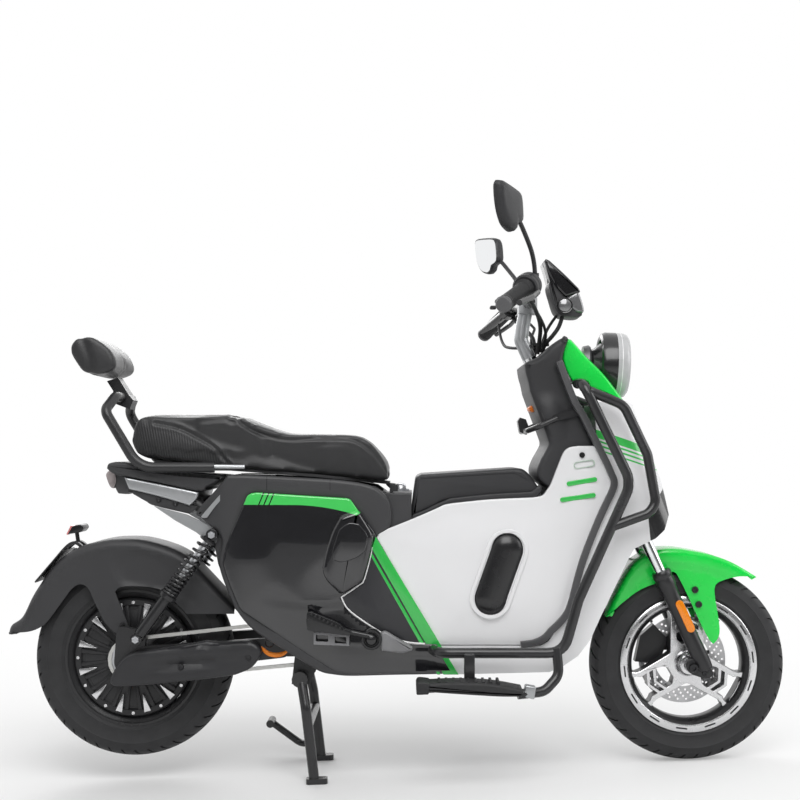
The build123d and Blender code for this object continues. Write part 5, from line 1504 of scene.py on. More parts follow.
rolled_edge(lid_skirt, 0.114, 0.003, 3)
lid_rib = slab("lid_rib", ribbon(mm((630, 625), (760, 633), (832, 637), (862, 622)), 0.0035), -0.1055, 0.1055)
for piece in (lid, lid_skirt, lid_rib):
    shield_plastic.on(piece)
latch_block = slab("latch_block", flow(mm((560, 540), (564, 580), (572, 594)), mm((572, 594), (612, 593)), mm((612, 593), (610, 530)), mm((610, 530), (575, 524), (560, 540))), -0.098, 0.098)
rolled_edge(latch_block, -0.098, 0.008, 4)
rolled_edge(latch_block, 0.098, 0.008, 4)
surround_plastic.on(latch_block)
latch_base = slab("latch_base", mm((580, 594), (606, 594), (606, 598), (590, 600), (580, 598)), -0.026, 0.026)
latch_hook = bar("latch_hook", [(0.584, -0.020, 0.596), (0.580, -0.020, 0.606), (0.586, -0.020, 0.611), (0.597, -0.020, 0.606)], 0.0025)
latch_pin = turned("latch_pin", [(-0.03, 0.0005), (-0.03, 0.004), (0.03, 0.004), (0.03, 0.0005)], (0.595, 0, 0.602), 20)
for piece in (latch_base, latch_hook, latch_pin):
    zinc.on(piece)
lid = park(done(joined("tunnel_lid_cover", [lid, lid_skirt, lid_rib, latch_block, latch_base, latch_hook, latch_pin]), 35))
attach(lid, "chassis")
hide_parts("tunnel_lid")


# Front cowl: a painted ABS shell over the head of the shield, crowned across,
# notched round the crash bar, in bright green.
lime_colour = (0.002, 0.68, 0.062)
lime = Finish("lime_paint", lime_colour, 0.24, Coat_Weight=0.4)
lime_dark, lime_light = shades(lime_colour, 0.9, 1.06)
lime.feed(Base_Color=lime.place.noise(10, 3).tint(lime_dark, lime_light), Roughness=0.2 + lime.place.noise(60, 3) * 0.12)
cowl_outline = flow(
    mm((945, 923), (938, 903), (936, 880)),
    mm((936, 880), (946, 851), (957, 833), (968, 829)),
    mm((968, 829), (979, 834), (990, 830), (996, 820)),
    mm((996, 820), (1035, 801), (1068, 787)),
    mm((1068, 787), (1047, 816), (1022, 848), (987, 883), (965, 908), (953, 921)),
    mm((953, 921), (945, 923)),
)
cowl_half = 0.095
cowl = slab("front_cowl_shell", cowl_outline, -cowl_half, cowl_half)
rolled_edge(cowl, -cowl_half, 0.005, 4)
rolled_edge(cowl, cowl_half, 0.005, 4)
for count in range(-3, 4):
    open_all(cowl)
    bpy.ops.mesh.bisect(plane_co=(0, count * 0.022, 0), plane_no=(0, 1, 0))
    bpy.ops.object.mode_set(mode="OBJECT")
for corner in cowl.data.vertices:
    x, y, z = corner.co
    share = 1 - (y / cowl_half) ** 2
    corner.co.x += 0.010 * share
    corner.co.z += 0.006 * share
lime.on(cowl)
park(done(cowl, 35))
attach(cowl, "chassis")
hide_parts("front_cowl")


# Headlight: a round lamp on a short neck through the cowl. A black bezel holds
# a deep frosted lens, with a bright line moulded across it.
lamp_place = Matrix.Translation((1.0860, 0, 0.871)) @ Matrix.Rotation(math.radians(92), 4, "Y")
lens_frost = Finish("frosted_lens", (0.40, 0.405, 0.41), 0.24, Coat_Weight=0.3)
flutes = lens_frost.place.stretched(1, 1, 1).node("ShaderNodeTexWave", {"bands_direction": "Z"}, {"Vector": lens_frost.place, "Scale": 160.0}, "Fac")
lens_dark, lens_light = shades((0.45, 0.455, 0.46), 0.8, 1.12)
lens_frost.feed(Base_Color=lens_frost.place.noise(30, 3).tint(lens_dark, lens_light))
lens_frost.bump(flutes, 0.0005, 0.25)
lens = turned_up("lamp_lens_ring", [(0.0005, 0.0065), (0.045, 0.006), (0.062, 0.003), (0.0690, -0.002), (0.0715, -0.009), (0.0722, -0.025), (0.0005, -0.025)], 96)
lens_frost.on(lens)
bezel = turned_up(
    "lamp_bezel",
    [(0.0700, -0.0245), (0.0725, -0.0255), (0.0725, -0.049), (0.0690, -0.057), (0.062, -0.060), (0.056, -0.058), (0.054, -0.050), (0.054, -0.026)],
    96,
)
cup = turned_up("lamp_cup", [(0.0005, -0.040), (0.046, -0.040), (0.050, -0.044), (0.048, -0.058), (0.036, -0.072), (0.030, -0.088), (0.0005, -0.092)], 64)
bezel_gloss = Finish("lamp_housing", (0.012, 0.012, 0.013), 0.22, Coat_Weight=0.3)
bezel_gloss.feed(Roughness=0.18 + bezel_gloss.place.noise(60, 3) * 0.12)
for piece in (bezel, cup):
    bezel_gloss.on(piece)
lens_line = turned_up("lamp_line", [(0.0712, -0.0150), (0.0722, -0.0150), (0.0722, -0.0165), (0.0712, -0.0165)], 96)
piping_white.on(lens_line)
halo = turned_up("lamp_halo", [(0.050, 0.0044), (0.057, 0.0034), (0.057, 0.0026), (0.050, 0.0036)], 96)
piping_white.on(halo)
neck_ring = turned_up("lamp_neck_ring", [(0.0005, -0.080), (0.040, -0.080), (0.043, -0.084), (0.040, -0.096), (0.0005, -0.098)], 48)
neck_grey = Finish("lamp_neck_grey", (0.14, 0.14, 0.145), 0.35, Metallic=0.6)
neck_grey.feed(Roughness=0.3 + neck_grey.place.noise(60, 3) * 0.15)
neck_grey.on(neck_ring)
headlight = joined("headlight_lamp", [lens, bezel, cup, lens_line, halo, neck_ring])
headlight.data.transform(lamp_place)
headlight = park(done(headlight, 35))
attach(headlight, "chassis")
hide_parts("headlight")


# Crash bars: two bent steel tubes on each side, in satin black, one from the
# cowl down to the footrest and one looped round the shield's cheek.
tube_coat = powder_coat("tube_coat", (0.020, 0.020, 0.021), 0.24)
for node in ("bag_hook", "handlebar", "brake_levers", "centre_stand"):
    tube_coat.on(frame["nodes"][node])


def bent(corners, radius, steps=6):
    """A path through its corners, each rounded to a bend of one radius."""
    path = [Vector(corners[0])]
    for before, corner, after in zip(corners, corners[1:], corners[2:]):
        corner = Vector(corner)
        back = (Vector(before) - corner).normalized()
        ahead = (Vector(after) - corner).normalized()
        half_turn = back.angle(ahead) / 2
        reach = min(radius / math.tan(half_turn), 0.48 * (Vector(before) - corner).length, 0.48 * (Vector(after) - corner).length)
        start = corner + back * reach
        end = corner + ahead * reach
        for step in range(steps + 1):
            share = step / steps
            path.append(start.lerp(corner, share).lerp(corner.lerp(end, share), share))
    return path + [Vector(corners[-1])]


tube_y = -0.180
main_corners = [(0.965, -0.118, 0.826), (0.9700, tube_y, 0.8235), (1.0640, tube_y, 0.6290), (1.0640, tube_y, 0.6020), (0.9600, tube_y, 0.3710), (0.9290, tube_y, 0.2600), (0.668, tube_y, 0.2600), (0.655, -0.128, 0.2600)]
loop_corners = [(0.9800, tube_y, 0.8080), (0.9890, -0.176, 0.8050), (1.0560, -0.172, 0.7780), (1.1060, -0.168, 0.6750), (1.1240, -0.168, 0.5750), (1.1100, -0.172, 0.5520), (1.0300, tube_y, 0.5240)]
low_corners = [(0.9140, -0.182, 0.2700), (0.9180, -0.190, 0.2150), (0.8860, -0.205, 0.1840), (0.8300, -0.215, 0.1800)]
strap = slab("footrest_strap", mm((720, 262), (742, 262), (742, 204), (720, 204)), -0.192, -0.212)
bevelled(strap, 0.002, 2)
tubes = [bar("crash_tube", bent(main_corners, 0.045), 0.0110, smooth=False), bar("crash_loop", bent(loop_corners, 0.040), 0.0105, smooth=False), bar("crash_low", bent(low_corners, 0.035), 0.0105, smooth=False), strap]
for piece in tubes:
    tube_coat.on(piece)
tube_clamp = slab("tube_clamp", mm((840, 176), (864, 170), (868, 196), (846, 200)), -0.198, -0.222)
bevelled(tube_clamp, 0.003, 3)
silver.on(tube_clamp)
crash = done(joined("crash_bar_right_tubes", [*tubes, tube_clamp]), 50)
crash_left = park(copied(crash, "crash_bar_left_tubes", to_left))
park(crash)
for piece, side in ((crash, "right"), (crash_left, "left")):
    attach(piece, "chassis")
    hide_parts("crash_bar_" + side)


# Fork and stem: chromed stanchions in black cast sliders, and a silver painted
# cast stem between the yoke and the bars.
chrome = Finish("hard_chrome", (0.78, 0.79, 0.80), 0.12, Metallic=1.0)
chrome.feed(Roughness=0.08 + chrome.place.noise(40, 3) * 0.12)
chrome.on(frame["nodes"]["fork"])
silver.on(frame["nodes"]["steering_stem"])
black_coat.on(frame["nodes"]["brake_caliper"])
rubber.on(frame["nodes"]["brake_hose"])
rake = math.radians(24.6)
leg_y = 0.074
slider_top = Vector((1.1505, -leg_y, 0.4215))
slider_turn = Matrix.Translation(slider_top) @ Matrix.Rotation(math.pi - rake, 4, "Y")
slider = turned_up(
    "fork_slider",
    [(0.0128, 0.000), (0.0190, 0.000), (0.0215, 0.004), (0.0215, 0.012), (0.0195, 0.016), (0.0205, 0.020), (0.0205, 0.034), (0.0185, 0.040),
     (0.0178, 0.060), (0.0174, 0.150), (0.0180, 0.175), (0.0190, 0.215), (0.0175, 0.232), (0.010, 0.240), (0.0005, 0.240), (0.0005, 0.050), (0.0128, 0.045)],
    48,
)
slider.data.transform(slider_turn)
lug = slab("axle_lug", flow(mm((1206, 226), (1213, 233), (1226, 232)), mm((1226, 232), (1244, 236)), mm((1244, 236), (1262, 206), (1258, 192), (1244, 190)), mm((1244, 190), (1216, 200), (1206, 212), (1206, 226))), -leg_y - 0.010, -leg_y + 0.010)
bevelled(lug, 0.003, 3)
slider_coat = powder_coat("slider_coat", (0.014, 0.014, 0.015), 0.3)
for piece in (slider, lug):
    slider_coat.on(piece)
axle_nut = bolt("axle_nut", (1.2198, -leg_y - 0.010, 0.2138), 0.010, 0.009)
clamp_bolt = bolt("clamp_bolt", (1.2440, -leg_y - 0.0102, 0.2020), 0.0055, 0.004)
arm_bolt_finish.on(axle_nut)
arm_bolt_finish.on(clamp_bolt)
amber = Finish("amber_reflector", (0.86, 0.24, 0.002), 0.16, Coat_Weight=0.3)
amber_cells = amber.place.node("ShaderNodeTexVoronoi", {}, {"Vector": amber.place, "Scale": 420.0}, "Distance")
amber_dark, amber_light = shades((0.86, 0.24, 0.002), 0.78, 1.12)
amber.feed(Base_Color=amber_cells.tint(amber_light, amber_dark))
amber.bump(amber_cells, 0.0004, 0.3)
reflector_low = Vector((1.2125, 0, 0.300))
reflector_top = Vector((1.1885, 0, 0.352))
fork_reflector = slab("fork_reflector", pill(reflector_low, reflector_top, 0.0088), -leg_y - 0.0165, -leg_y - 0.0222)
bevelled(fork_reflector, 0.0016, 3)
amber.on(fork_reflector)
fork_leg = joined("fork_slider_right", [slider, lug, axle_nut, clamp_bolt, fork_reflector])
fork_leg_left = copied(fork_leg, "fork_slider_left", to_left)
fork_legs = park(done(joined("fork_slider_pair", [fork_leg, fork_leg_left]), 35))
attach(fork_legs, "steering")
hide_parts("fork_sliders")


# Front mudguard: a green painted shell on the fork, folded along its rim, with
# a pointed stay on each side that takes two screws.
front_guard_half = 0.0515
front_guard_top = flow(mm((1036, 319), (1060, 371), (1092, 428), (1120, 452), (1154, 466), (1190, 468), (1222, 464), (1266, 455), (1313, 438), (1366, 407)))
front_guard_under = flow(
    mm((1366, 407), (1326, 408), (1298, 401)),
    mm((1298, 401), (1281, 394), (1274, 382), (1275, 360)),
    mm((1275, 360), (1282, 318), (1285, 290), (1281, 272), (1271, 260)),
    mm((1271, 260), (1262, 270), (1246, 299)),
    mm((1246, 299), (1218, 360), (1196, 404), (1186, 417), (1166, 418)),
    mm((1166, 418), (1152, 404), (1142, 391)),
    mm((1142, 391), (1102, 373), (1036, 319)),
)
front_guard_outline = front_guard_top + front_guard_under[1:-1]
front_guard = slab("front_mudguard_shell", front_guard_outline, -front_guard_half, front_guard_half)


def front_arch(x):
    """The height of the front mudguard's top over a place along the machine."""
    for (ax, az), (bx, bz) in zip(front_guard_top, front_guard_top[1:]):
        if ax <= x <= bx:
            return az + (bz - az) * (x - ax) / (bx - ax)
    return 0.319


open_up(front_guard, "FACE", lambda middle, normal: abs(normal.y) < 0.5 and middle.z < front_arch(middle.x) - 0.0015)
bpy.ops.mesh.delete(type="FACE")
bpy.ops.object.mode_set(mode="OBJECT")
open_up(front_guard, "EDGE", lambda middle, along: abs(abs(middle.y) - front_guard_half) < 0.001 and middle.z > front_arch(middle.x) - 0.0015 and abs(along.y) < 0.001)
bpy.ops.mesh.bevel(offset=0.009, segments=3, profile=0.5, clamp_overlap=False)
bpy.ops.object.mode_set(mode="OBJECT")
gridded(front_guard, 0.008)
for corner in front_guard.data.vertices:
    x, y, z = corner.co
    if abs(y) > front_guard_half - 0.002:
        corner.co.y -= math.copysign(0.0035 * eased((front_arch(x) - z - 0.030) / 0.008), y)
modified(front_guard, "SOLIDIFY", thickness=0.0026, offset=-1)
guard_lime = Finish("lime_mudguard", lime_colour, 0.24, Coat_Weight=0.4)
guard_lime.feed(Base_Color=guard_lime.place.noise(10, 3).tint(lime_dark, lime_light), Roughness=0.2 + guard_lime.place.noise(60, 3) * 0.12)
guard_lime.on(front_guard)
front_guard_screws = [bolt("mudguard_screw", (x, side * (front_guard_half - 0.0016), z), 0.0075, 0.0035, side) for side in (-1, 1) for x, z in ((1.2305, 0.379), (1.2385, 0.347))]
for screw in front_guard_screws:
    capsule_black.on(screw)
front_guard = park(done(joined("front_mudguard_shell", [front_guard, *front_guard_screws]), 35))
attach(front_guard, "steering")
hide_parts("front_mudguard")


# Front tyre and rim: the same rubber on a cast alloy rim. Its lips are machined
# bright and slotted, and three pairs of arms with bright faces and black sides
# meet round the hub, braced by chevrons.
front_tread = tyre("front_tyre_tread", front_axle, 0.214, 0.038, "front_wheel", -0.11)
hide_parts("front_tyre")
rim_parts = []
half_rim = [(0.0350, 0.150), (0.0370, 0.147), (0.0370, 0.136), (0.0340, 0.1335), (0.0300, 0.128), (0.0150, 0.122)]
rim_profile = half_rim + [(-across, radius) for across, radius in reversed(half_rim)] + [(-0.030, 0.1495), (-0.026, 0.133), (0.026, 0.133), (0.030, 0.1495)]
front_rim = turned("front_rim_cast", rim_profile, front_axle, 144)
front_rim.data.materials.append(rim_paint.material)
front_rim.data.materials.append(bright_metal.material)
paint_faces(front_rim, 1, lambda place, normal: (Vector((place.x, 0, place.z)) - Vector((front_axle.x, 0, front_axle.z))).length > 0.1345 and abs(place.y) > 0.0345)


def spoke_spots(angle, *places):
    """Places given along and across a spoke, in millimetres, turned about the hub."""
    turn = math.radians(angle)
    reach = [(along / 1000, across / 1000) for along, across in places]
    return [
        (front_axle.x + u * math.cos(turn) - v * math.sin(turn), front_axle.z + u * math.sin(turn) + v * math.cos(turn))
        for u, v in reach
    ]


spider_outline = []
spider_holes = []
for angle in (90, 210, 330):
    spider_outline += spoke_spots(angle, (24, -38), (30, -37), (98, -36), (108, -38), (116, -44), (122, -44), (125, -20), (125, 20), (122, 44), (116, 44), (108, 38), (98, 36), (30, 37), (24, 38))
    spider_holes.append(spoke_spots(angle, (42, -12), (52, -22), (60, -24), (66, -24), (77, 0), (66, 24), (60, 24), (52, 22), (42, 12)))
    spider_holes.append(spoke_spots(angle, (74, -24), (82, -24), (93, 0), (82, 24), (74, 24), (85, 0)))
    spider_holes.append(spoke_spots(angle, (90, -24), (104, -24), (112, -30), (120, -32), (121, 0), (120, 32), (112, 30), (104, 24), (90, 24), (101, 0)))
spider = plate("spoke_spider", [spider_outline, *spider_holes], -0.019, 0.019)
bevelled(spider, 0.0016, 2, 50)
spider.data.materials.append(rim_paint.material)
spider.data.materials.append(bright_metal.material)
for face in spider.data.polygons:
    face.material_index = 1 if abs(face.center.y) > 0.0185 and abs(face.normal.y) > 0.7 else 0
front_hub = turned(
    "front_hub",
    [(-0.058, 0.0095), (-0.058, 0.0150), (-0.048, 0.0150), (-0.048, 0.0205), (-0.036, 0.0215), (-0.030, 0.0270), (-0.019, 0.0290), (0.019, 0.0300),
     (0.034, 0.0300), (0.036, 0.020), (0.058, 0.016), (0.058, 0.0095)],
    front_axle, 64,
)
bright_metal.on(front_hub)
slot_plate = slab("rim_slot", pill(Vector((-0.0110, 0, 0.1413)), Vector((0.0110, 0, 0.1413)), 0.0017, 6), -0.0365, -0.0373)
slot_plate.data.transform(Matrix.Translation(front_axle))
for count in range(14):
    for mirror in (Matrix.Identity(4), to_left):
        rim_parts.append(copied(slot_plate, "rim_slot", about_axle(front_axle, 2 * math.pi * (count + 0.25) / 14) @ mirror))
bpy.data.objects.remove(slot_plate)
valve = bar("valve", [(front_axle.x + 0.072, -0.004, front_axle.z + 0.094), (front_axle.x + 0.064, -0.006, front_axle.z + 0.086), (front_axle.x + 0.060, -0.010, front_axle.z + 0.076)], 0.0042)
rim_parts.append(valve)
for piece in rim_parts:
    capsule_black.on(piece)
front_rim = park(done(joined("front_rim_cast", [front_rim, spider, front_hub, *rim_parts]), 35))
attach(front_rim, "front_wheel")
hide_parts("front_rim")


# Brake disc: drilled stainless steel, 4 mm thick, on a dark carrier with six
# arms that is screwed to the hub's left side.
disc_steel = Finish("disc_steel", (0.60, 0.60, 0.61), 0.3, Metallic=1.0)
disc_steel.feed(Roughness=0.24 + disc_steel.place.noise(90, 3) * 0.2)
front_spot = (front_axle.x, front_axle.z)
drillings = []
for radius, offset in ((0.0690, 0.0), (0.0760, 0.33), (0.0830, 0.66), (0.0900, 0.0)):
    for count in range(30):
        turn = 2 * math.pi * (count + offset) / 30
        spot = (front_spot[0] + radius * math.cos(turn), front_spot[1] + radius * math.sin(turn))
        drillings.append(disc_outline(spot, 0.0026, 8))
disc = plate("brake_disc_plate", [disc_outline(front_spot, 0.0975, 96), disc_outline(front_spot, 0.0615, 72), *drillings], 0.0382, 0.0418)
disc_steel.on(disc)
carrier_arms = []
for angle in range(15, 375, 60):
    carrier_arms.append(slab("disc_arm", spoke_spots(angle, (20, -7), (64, -4), (64, 4), (20, 7)), 0.0375, 0.0415))
carrier_hub = turned("disc_carrier", [(0.036, 0.016), (0.0415, 0.016), (0.0415, 0.032), (0.036, 0.034)], front_axle, 48)
for piece in (*carrier_arms, carrier_hub):
    rim_paint.on(piece)
disc = park(done(joined("brake_disc_drilled", [disc, *carrier_arms, carrier_hub]), 30))
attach(disc, "front_wheel")
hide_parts("brake_disc")


# Instrument pod: a gloss black visor over a smoky lens, with a dark display on
# the rider's side and a round signal lamp low on each cheek.
pod_half = 0.050
visor = slab("pod_visor", flow(mm((901, 1098), (905, 1102), (913, 1099)), mm((913, 1099), (946, 1069), (977, 1038)), mm((977, 1038), (980, 1030), (972, 1027)), mm((972, 1027), (948, 1019)), mm((948, 1019), (926, 1044), (910, 1074)), mm((910, 1074), (901, 1098))), -pod_half, pod_half)
rolled_edge(visor, -pod_half, 0.005)
rolled_edge(visor, pod_half, 0.005)
gloss_trim = Finish("gloss_trim", (0.006, 0.006, 0.007), 0.1, Coat_Weight=0.6)
gloss_trim.feed(Roughness=0.08 + gloss_trim.place.noise(60, 3) * 0.08)
gloss_trim.on(visor)
smoky = Finish("smoky_lens", (0.20, 0.20, 0.205), 0.14, Metallic=0.5, Coat_Weight=0.6)
smoky.feed(Roughness=0.1 + smoky.place.noise(30, 2) * 0.1)
pod_lens = slab("pod_lens", flow(mm((976, 1034), (984, 1012), (989, 992), (986, 984)), mm((986, 984), (972, 986), (958, 998)), mm((958, 998), (950, 1018)), mm((950, 1018), (976, 1034))), -pod_half + 0.003, pod_half - 0.003)
rolled_edge(pod_lens, -pod_half + 0.003, 0.006)
rolled_edge(pod_lens, pod_half - 0.003, 0.006)
smoky.on(pod_lens)
pod_body = slab("pod_body", flow(mm((918, 1062), (948, 1022), (960, 1000), (984, 985)), mm((984, 985), (984, 979), (970, 976), (940, 979)), mm((940, 979), (928, 990), (918, 1020), (912, 1045), (918, 1062))), -pod_half + 0.008, pod_half - 0.008)
bevelled(pod_body, 0.004, 3)
shield_plastic.on(pod_body)
display = slab("pod_display", mm((904, 1090), (908, 1094), (934, 1000), (929, 998)), -pod_half + 0.006, pod_half - 0.006)
bevelled(display, 0.001, 2)
gloss_trim.on(display)
signals = []
for side in (-1, 1):
    signal = turned("signal_lamp", [(side * 0.030, 0.0005), (side * 0.030, 0.0145), (side * 0.048, 0.0150), (side * 0.051, 0.0135), (side * 0.053, 0.0090), (side * 0.0535, 0.0005)], (0.9465, 0, 1.0005), 40)
    smoky.on(signal)
    ring_trim = turned("signal_rim", [(side * 0.044, 0.0150), (side * 0.0500, 0.0152), (side * 0.0505, 0.0168), (side * 0.044, 0.0170)], (0.9465, 0, 1.0005), 40)
    gloss_trim.on(ring_trim)
    signals += [signal, ring_trim]
pod = park(done(joined("instrument_pod", [visor, pod_lens, pod_body, display, *signals]), 35))
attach(pod, "steering")
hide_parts("dash")


# Mirrors: black moulded heads on bent rods, each with a flat glass in its face
# and a rubber boot over its clamp.
mirror_middle = Vector((0.7980, -0.330, 1.1640))
mirror_yaw = math.radians(28)
mirror_across = Vector((math.sin(mirror_yaw), math.cos(mirror_yaw), 0)) * 0.056
mirror_back = Vector((math.cos(mirror_yaw), -math.sin(mirror_yaw), 0))
mirror_outline = flow(
    [(-1.0, 38), (-0.92, 45), (-0.70, 46.5)],
    [(-0.70, 46.5), (0.0, 43), (0.62, 38), (0.86, 29), (0.96, 8), (1.0, -12)],
    [(1.0, -12), (0.94, -22), (0.72, -27)],
    [(0.72, -27), (0.50, -31), (0.38, -43)],
    [(0.38, -43), (0.22, -47), (0.0, -46), (-0.42, -37), (-0.78, -14), (-0.94, 12), (-1.0, 38)],
)
mirror_outline = [(share, height / 1000) for share, height in mirror_outline]


def mirror_spots(size, depth):
    """The mirror's outline at a size and a depth from its glass."""
    return [mirror_middle + mirror_across * share * size + Vector((0, 0, height * size)) + mirror_back * depth for share, height in mirror_outline]


layers = [mirror_spots(0.955, -0.0035), mirror_spots(1.0, 0.0), mirror_spots(1.0, 0.004), mirror_spots(0.97, 0.0115), mirror_spots(0.88, 0.0165), mirror_spots(0.68, 0.0195), mirror_spots(0.3, 0.0210)]
mirror_head = ring("mirror_head", layers[0], face=True)
for below, above in zip(layers, layers[1:]):
    level = sum(below, Vector()) / len(below)
    open_up(mirror_head, "FACE", lambda middle, normal: abs((middle - level).dot(mirror_back)) < 0.0004)
    bpy.ops.mesh.extrude_region_move()
    bpy.ops.object.mode_set(mode="OBJECT")
    for corner in mirror_head.data.vertices:
        if corner.select:
            nearest = min(range(len(below)), key=lambda i: (below[i] - corner.co).length)
            corner.co = above[nearest]
tidy_mesh(mirror_head)
mirror_plastic = moulded_plastic("mirror_moulding", (0.020, 0.020, 0.022), 0.5)
mirror_plastic.on(mirror_head)
glass = ring("mirror_glass", mirror_spots(0.90, -0.0052), face=True)
open_all(glass)
bpy.ops.mesh.extrude_region_move(TRANSFORM_OT_translate={"value": mirror_back * 0.003})
bpy.ops.object.mode_set(mode="OBJECT")
tidy_mesh(glass)
silvered = Finish("silvered_glass", (0.86, 0.87, 0.88), 0.04, Metallic=1.0)
silvered.feed(Roughness=0.03 + silvered.place.noise(20, 2) * 0.04)
silvered.on(glass)
rod = bar("mirror_rod", [(0.868, -0.192, 1.030), (0.868, -0.195, 1.057), (0.861, -0.214, 1.088), (0.849, -0.245, 1.110), (0.825, -0.292, 1.150), (0.812, -0.318, 1.160)], 0.0048)
boot = bar("mirror_boot", [(0.868, -0.1905, 1.012), (0.868, -0.191, 1.030)], 0.0105, smooth=False)
boot_top = bar("mirror_boot_top", [(0.868, -0.191, 1.028), (0.868, -0.1945, 1.052)], 0.0082, smooth=False)
for piece in (rod, boot, boot_top):
    mirror_plastic.on(piece)
mirror = done(joined("mirror_right_head", [mirror_head, glass, rod, boot, boot_top]), 35)
mirror_copy = park(copied(mirror, "mirror_left_head", to_left))
park(mirror)
for piece, side in ((mirror, "right"), (mirror_copy, "left")):
    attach(piece, "steering")
    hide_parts("mirror_" + side)


# Grips: ribbed rubber sleeves with grey end weights, a round throttle housing
# on the right and a switch box on the left.
grip_inner = Vector((0.8430, -0.225, 1.0160))
grip_outer = Vector((0.7940, -0.346, 0.9720))
grip_length = (grip_outer - grip_inner).length
grip_turn = Matrix.Translation(grip_inner) @ (grip_outer - grip_inner).to_track_quat("Z", "Y").to_matrix().to_4x4()
grip_section = [(0.0112, 0.0), (0.0205, 0.0), (0.0215, 0.004), (0.0170, 0.008)]
for count in range(22):
    start = 0.010 + count * (grip_length - 0.020) / 22
    grip_section += [(0.0162, start), (0.0162, start + 0.0030), (0.0152, start + 0.0036), (0.0152, start + 0.0046)]
grip_section += [(0.0168, grip_length - 0.008), (0.0168, grip_length), (0.0112, grip_length)]
grip = turned_up("grip_sleeve", grip_section, 40)
rubber_grip = Finish("grip_rubber", (0.020, 0.020, 0.021), 0.6, Specular_IOR_Level=0.3)
rubber_grip.feed(Roughness=0.5 + rubber_grip.place.noise(40, 3) * 0.2)
rubber_grip.bump(rubber_grip.place.noise(900, 2), 0.0003, 0.3)
rubber_grip.on(grip)
end_weight = turned_up("end_weight", [(0.0005, grip_length - 0.004), (0.0150, grip_length - 0.004), (0.0165, grip_length + 0.001), (0.0165, grip_length + 0.008), (0.0140, grip_length + 0.011), (0.0005, grip_length + 0.0115)], 40)
weight_grey = moulded_plastic("end_weight_grey", (0.085, 0.085, 0.088), 0.45)
weight_grey.on(end_weight)
grips = joined("grip_sleeve", [grip, end_weight])
grips.data.transform(grip_turn)
grips_left = copied(grips, "grip_left", to_left)
grips = park(done(joined("grip_sleeves", [grips, grips_left]), 40))
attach(grips, "steering")
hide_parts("grips")
throttle = turned_up("throttle_housing", [(0.0125, -0.040), (0.0240, -0.040), (0.0275, -0.036), (0.0275, -0.006), (0.0245, -0.002), (0.0125, -0.002)], 40)
throttle_seam = turned_up("throttle_seam", [(0.0268, -0.0215), (0.0280, -0.0215), (0.0280, -0.0195), (0.0268, -0.0195)], 40)
switch_box = slab("switch_box", flow(mm((-18, -24), (22, -26)), mm((22, -26), (30, -18), (30, 12), (22, 22)), mm((22, 22), (-14, 22)), mm((-14, 22), (-22, 12), (-22, -16), (-18, -24))), -0.042, -0.004)
switch_box.data.transform(Matrix.Rotation(math.pi / 2, 4, "X"))
switch_box.data.transform(Matrix.Translation((0, 0, -0.046)))
bevelled(switch_box, 0.004, 3)
switch_box.data.transform(to_left @ grip_turn)
switch_box.data.flip_normals()
for piece in (throttle, throttle_seam):
    piece.data.transform(grip_turn)
housings = [throttle, throttle_seam, switch_box]
for x, z in ((0.8330, 1.0450), (0.8180, 1.0390), (0.8060, 1.0240)):
    button = slab("switch_button", pill(Vector((x - 0.004, 0, z)), Vector((x + 0.004, 0, z)), 0.004), 0.212, 0.232)
    bevelled(button, 0.001, 2)
    housings.append(button)
for piece in housings:
    mirror_plastic.on(piece)
controls = park(done(joined("hand_controls", housings), 35))
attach(controls, "steering")


# Control cables: a loom of black sleeved wires and two hoses from the controls
# down behind the stem into the head of the shield.
loom_routes = (
    [(0.852, -0.205, 1.002), (0.872, -0.150, 0.985), (0.892, -0.070, 0.955), (0.893, -0.028, 0.925), (0.889, -0.020, 0.896)],
    [(0.852, -0.190, 1.000), (0.880, -0.120, 0.978), (0.905, -0.055, 0.945), (0.905, -0.026, 0.920), (0.897, -0.018, 0.900)],
    [(0.850, 0.205, 1.000), (0.864, 0.140, 0.972), (0.880, 0.060, 0.948), (0.888, 0.026, 0.925), (0.886, 0.016, 0.896)],
    [(0.820, 0.240, 0.985), (0.822, 0.180, 0.930), (0.842, 0.090, 0.916), (0.872, 0.034, 0.915), (0.884, 0.024, 0.896)],
    [(0.945, -0.020, 0.985), (0.940, -0.022, 0.960), (0.922, -0.022, 0.935), (0.905, -0.016, 0.918), (0.900, -0.012, 0.902)],
    [(0.935, 0.012, 0.984), (0.918, 0.012, 0.962), (0.906, 0.012, 0.935), (0.902, 0.010, 0.915), (0.898, 0.008, 0.902)],
)
loom = []
for count, route in enumerate(loom_routes):
    wire = bar("wire", route, 0.0034 if count % 2 else 0.0046, sides=3)
    rubber_grip.on(wire)
    loom.append(wire)
loom_tie = turned_up("loom_tie", [(0.012, -0.003), (0.019, -0.003), (0.019, 0.003), (0.012, 0.003)], 24)
loom_tie.data.transform(Matrix.Translation((0.898, 0, 0.918)))
rubber_grip.on(loom_tie)
loom = park(done(joined("control_loom", [*loom, loom_tie]), 50))
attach(loom, "steering")


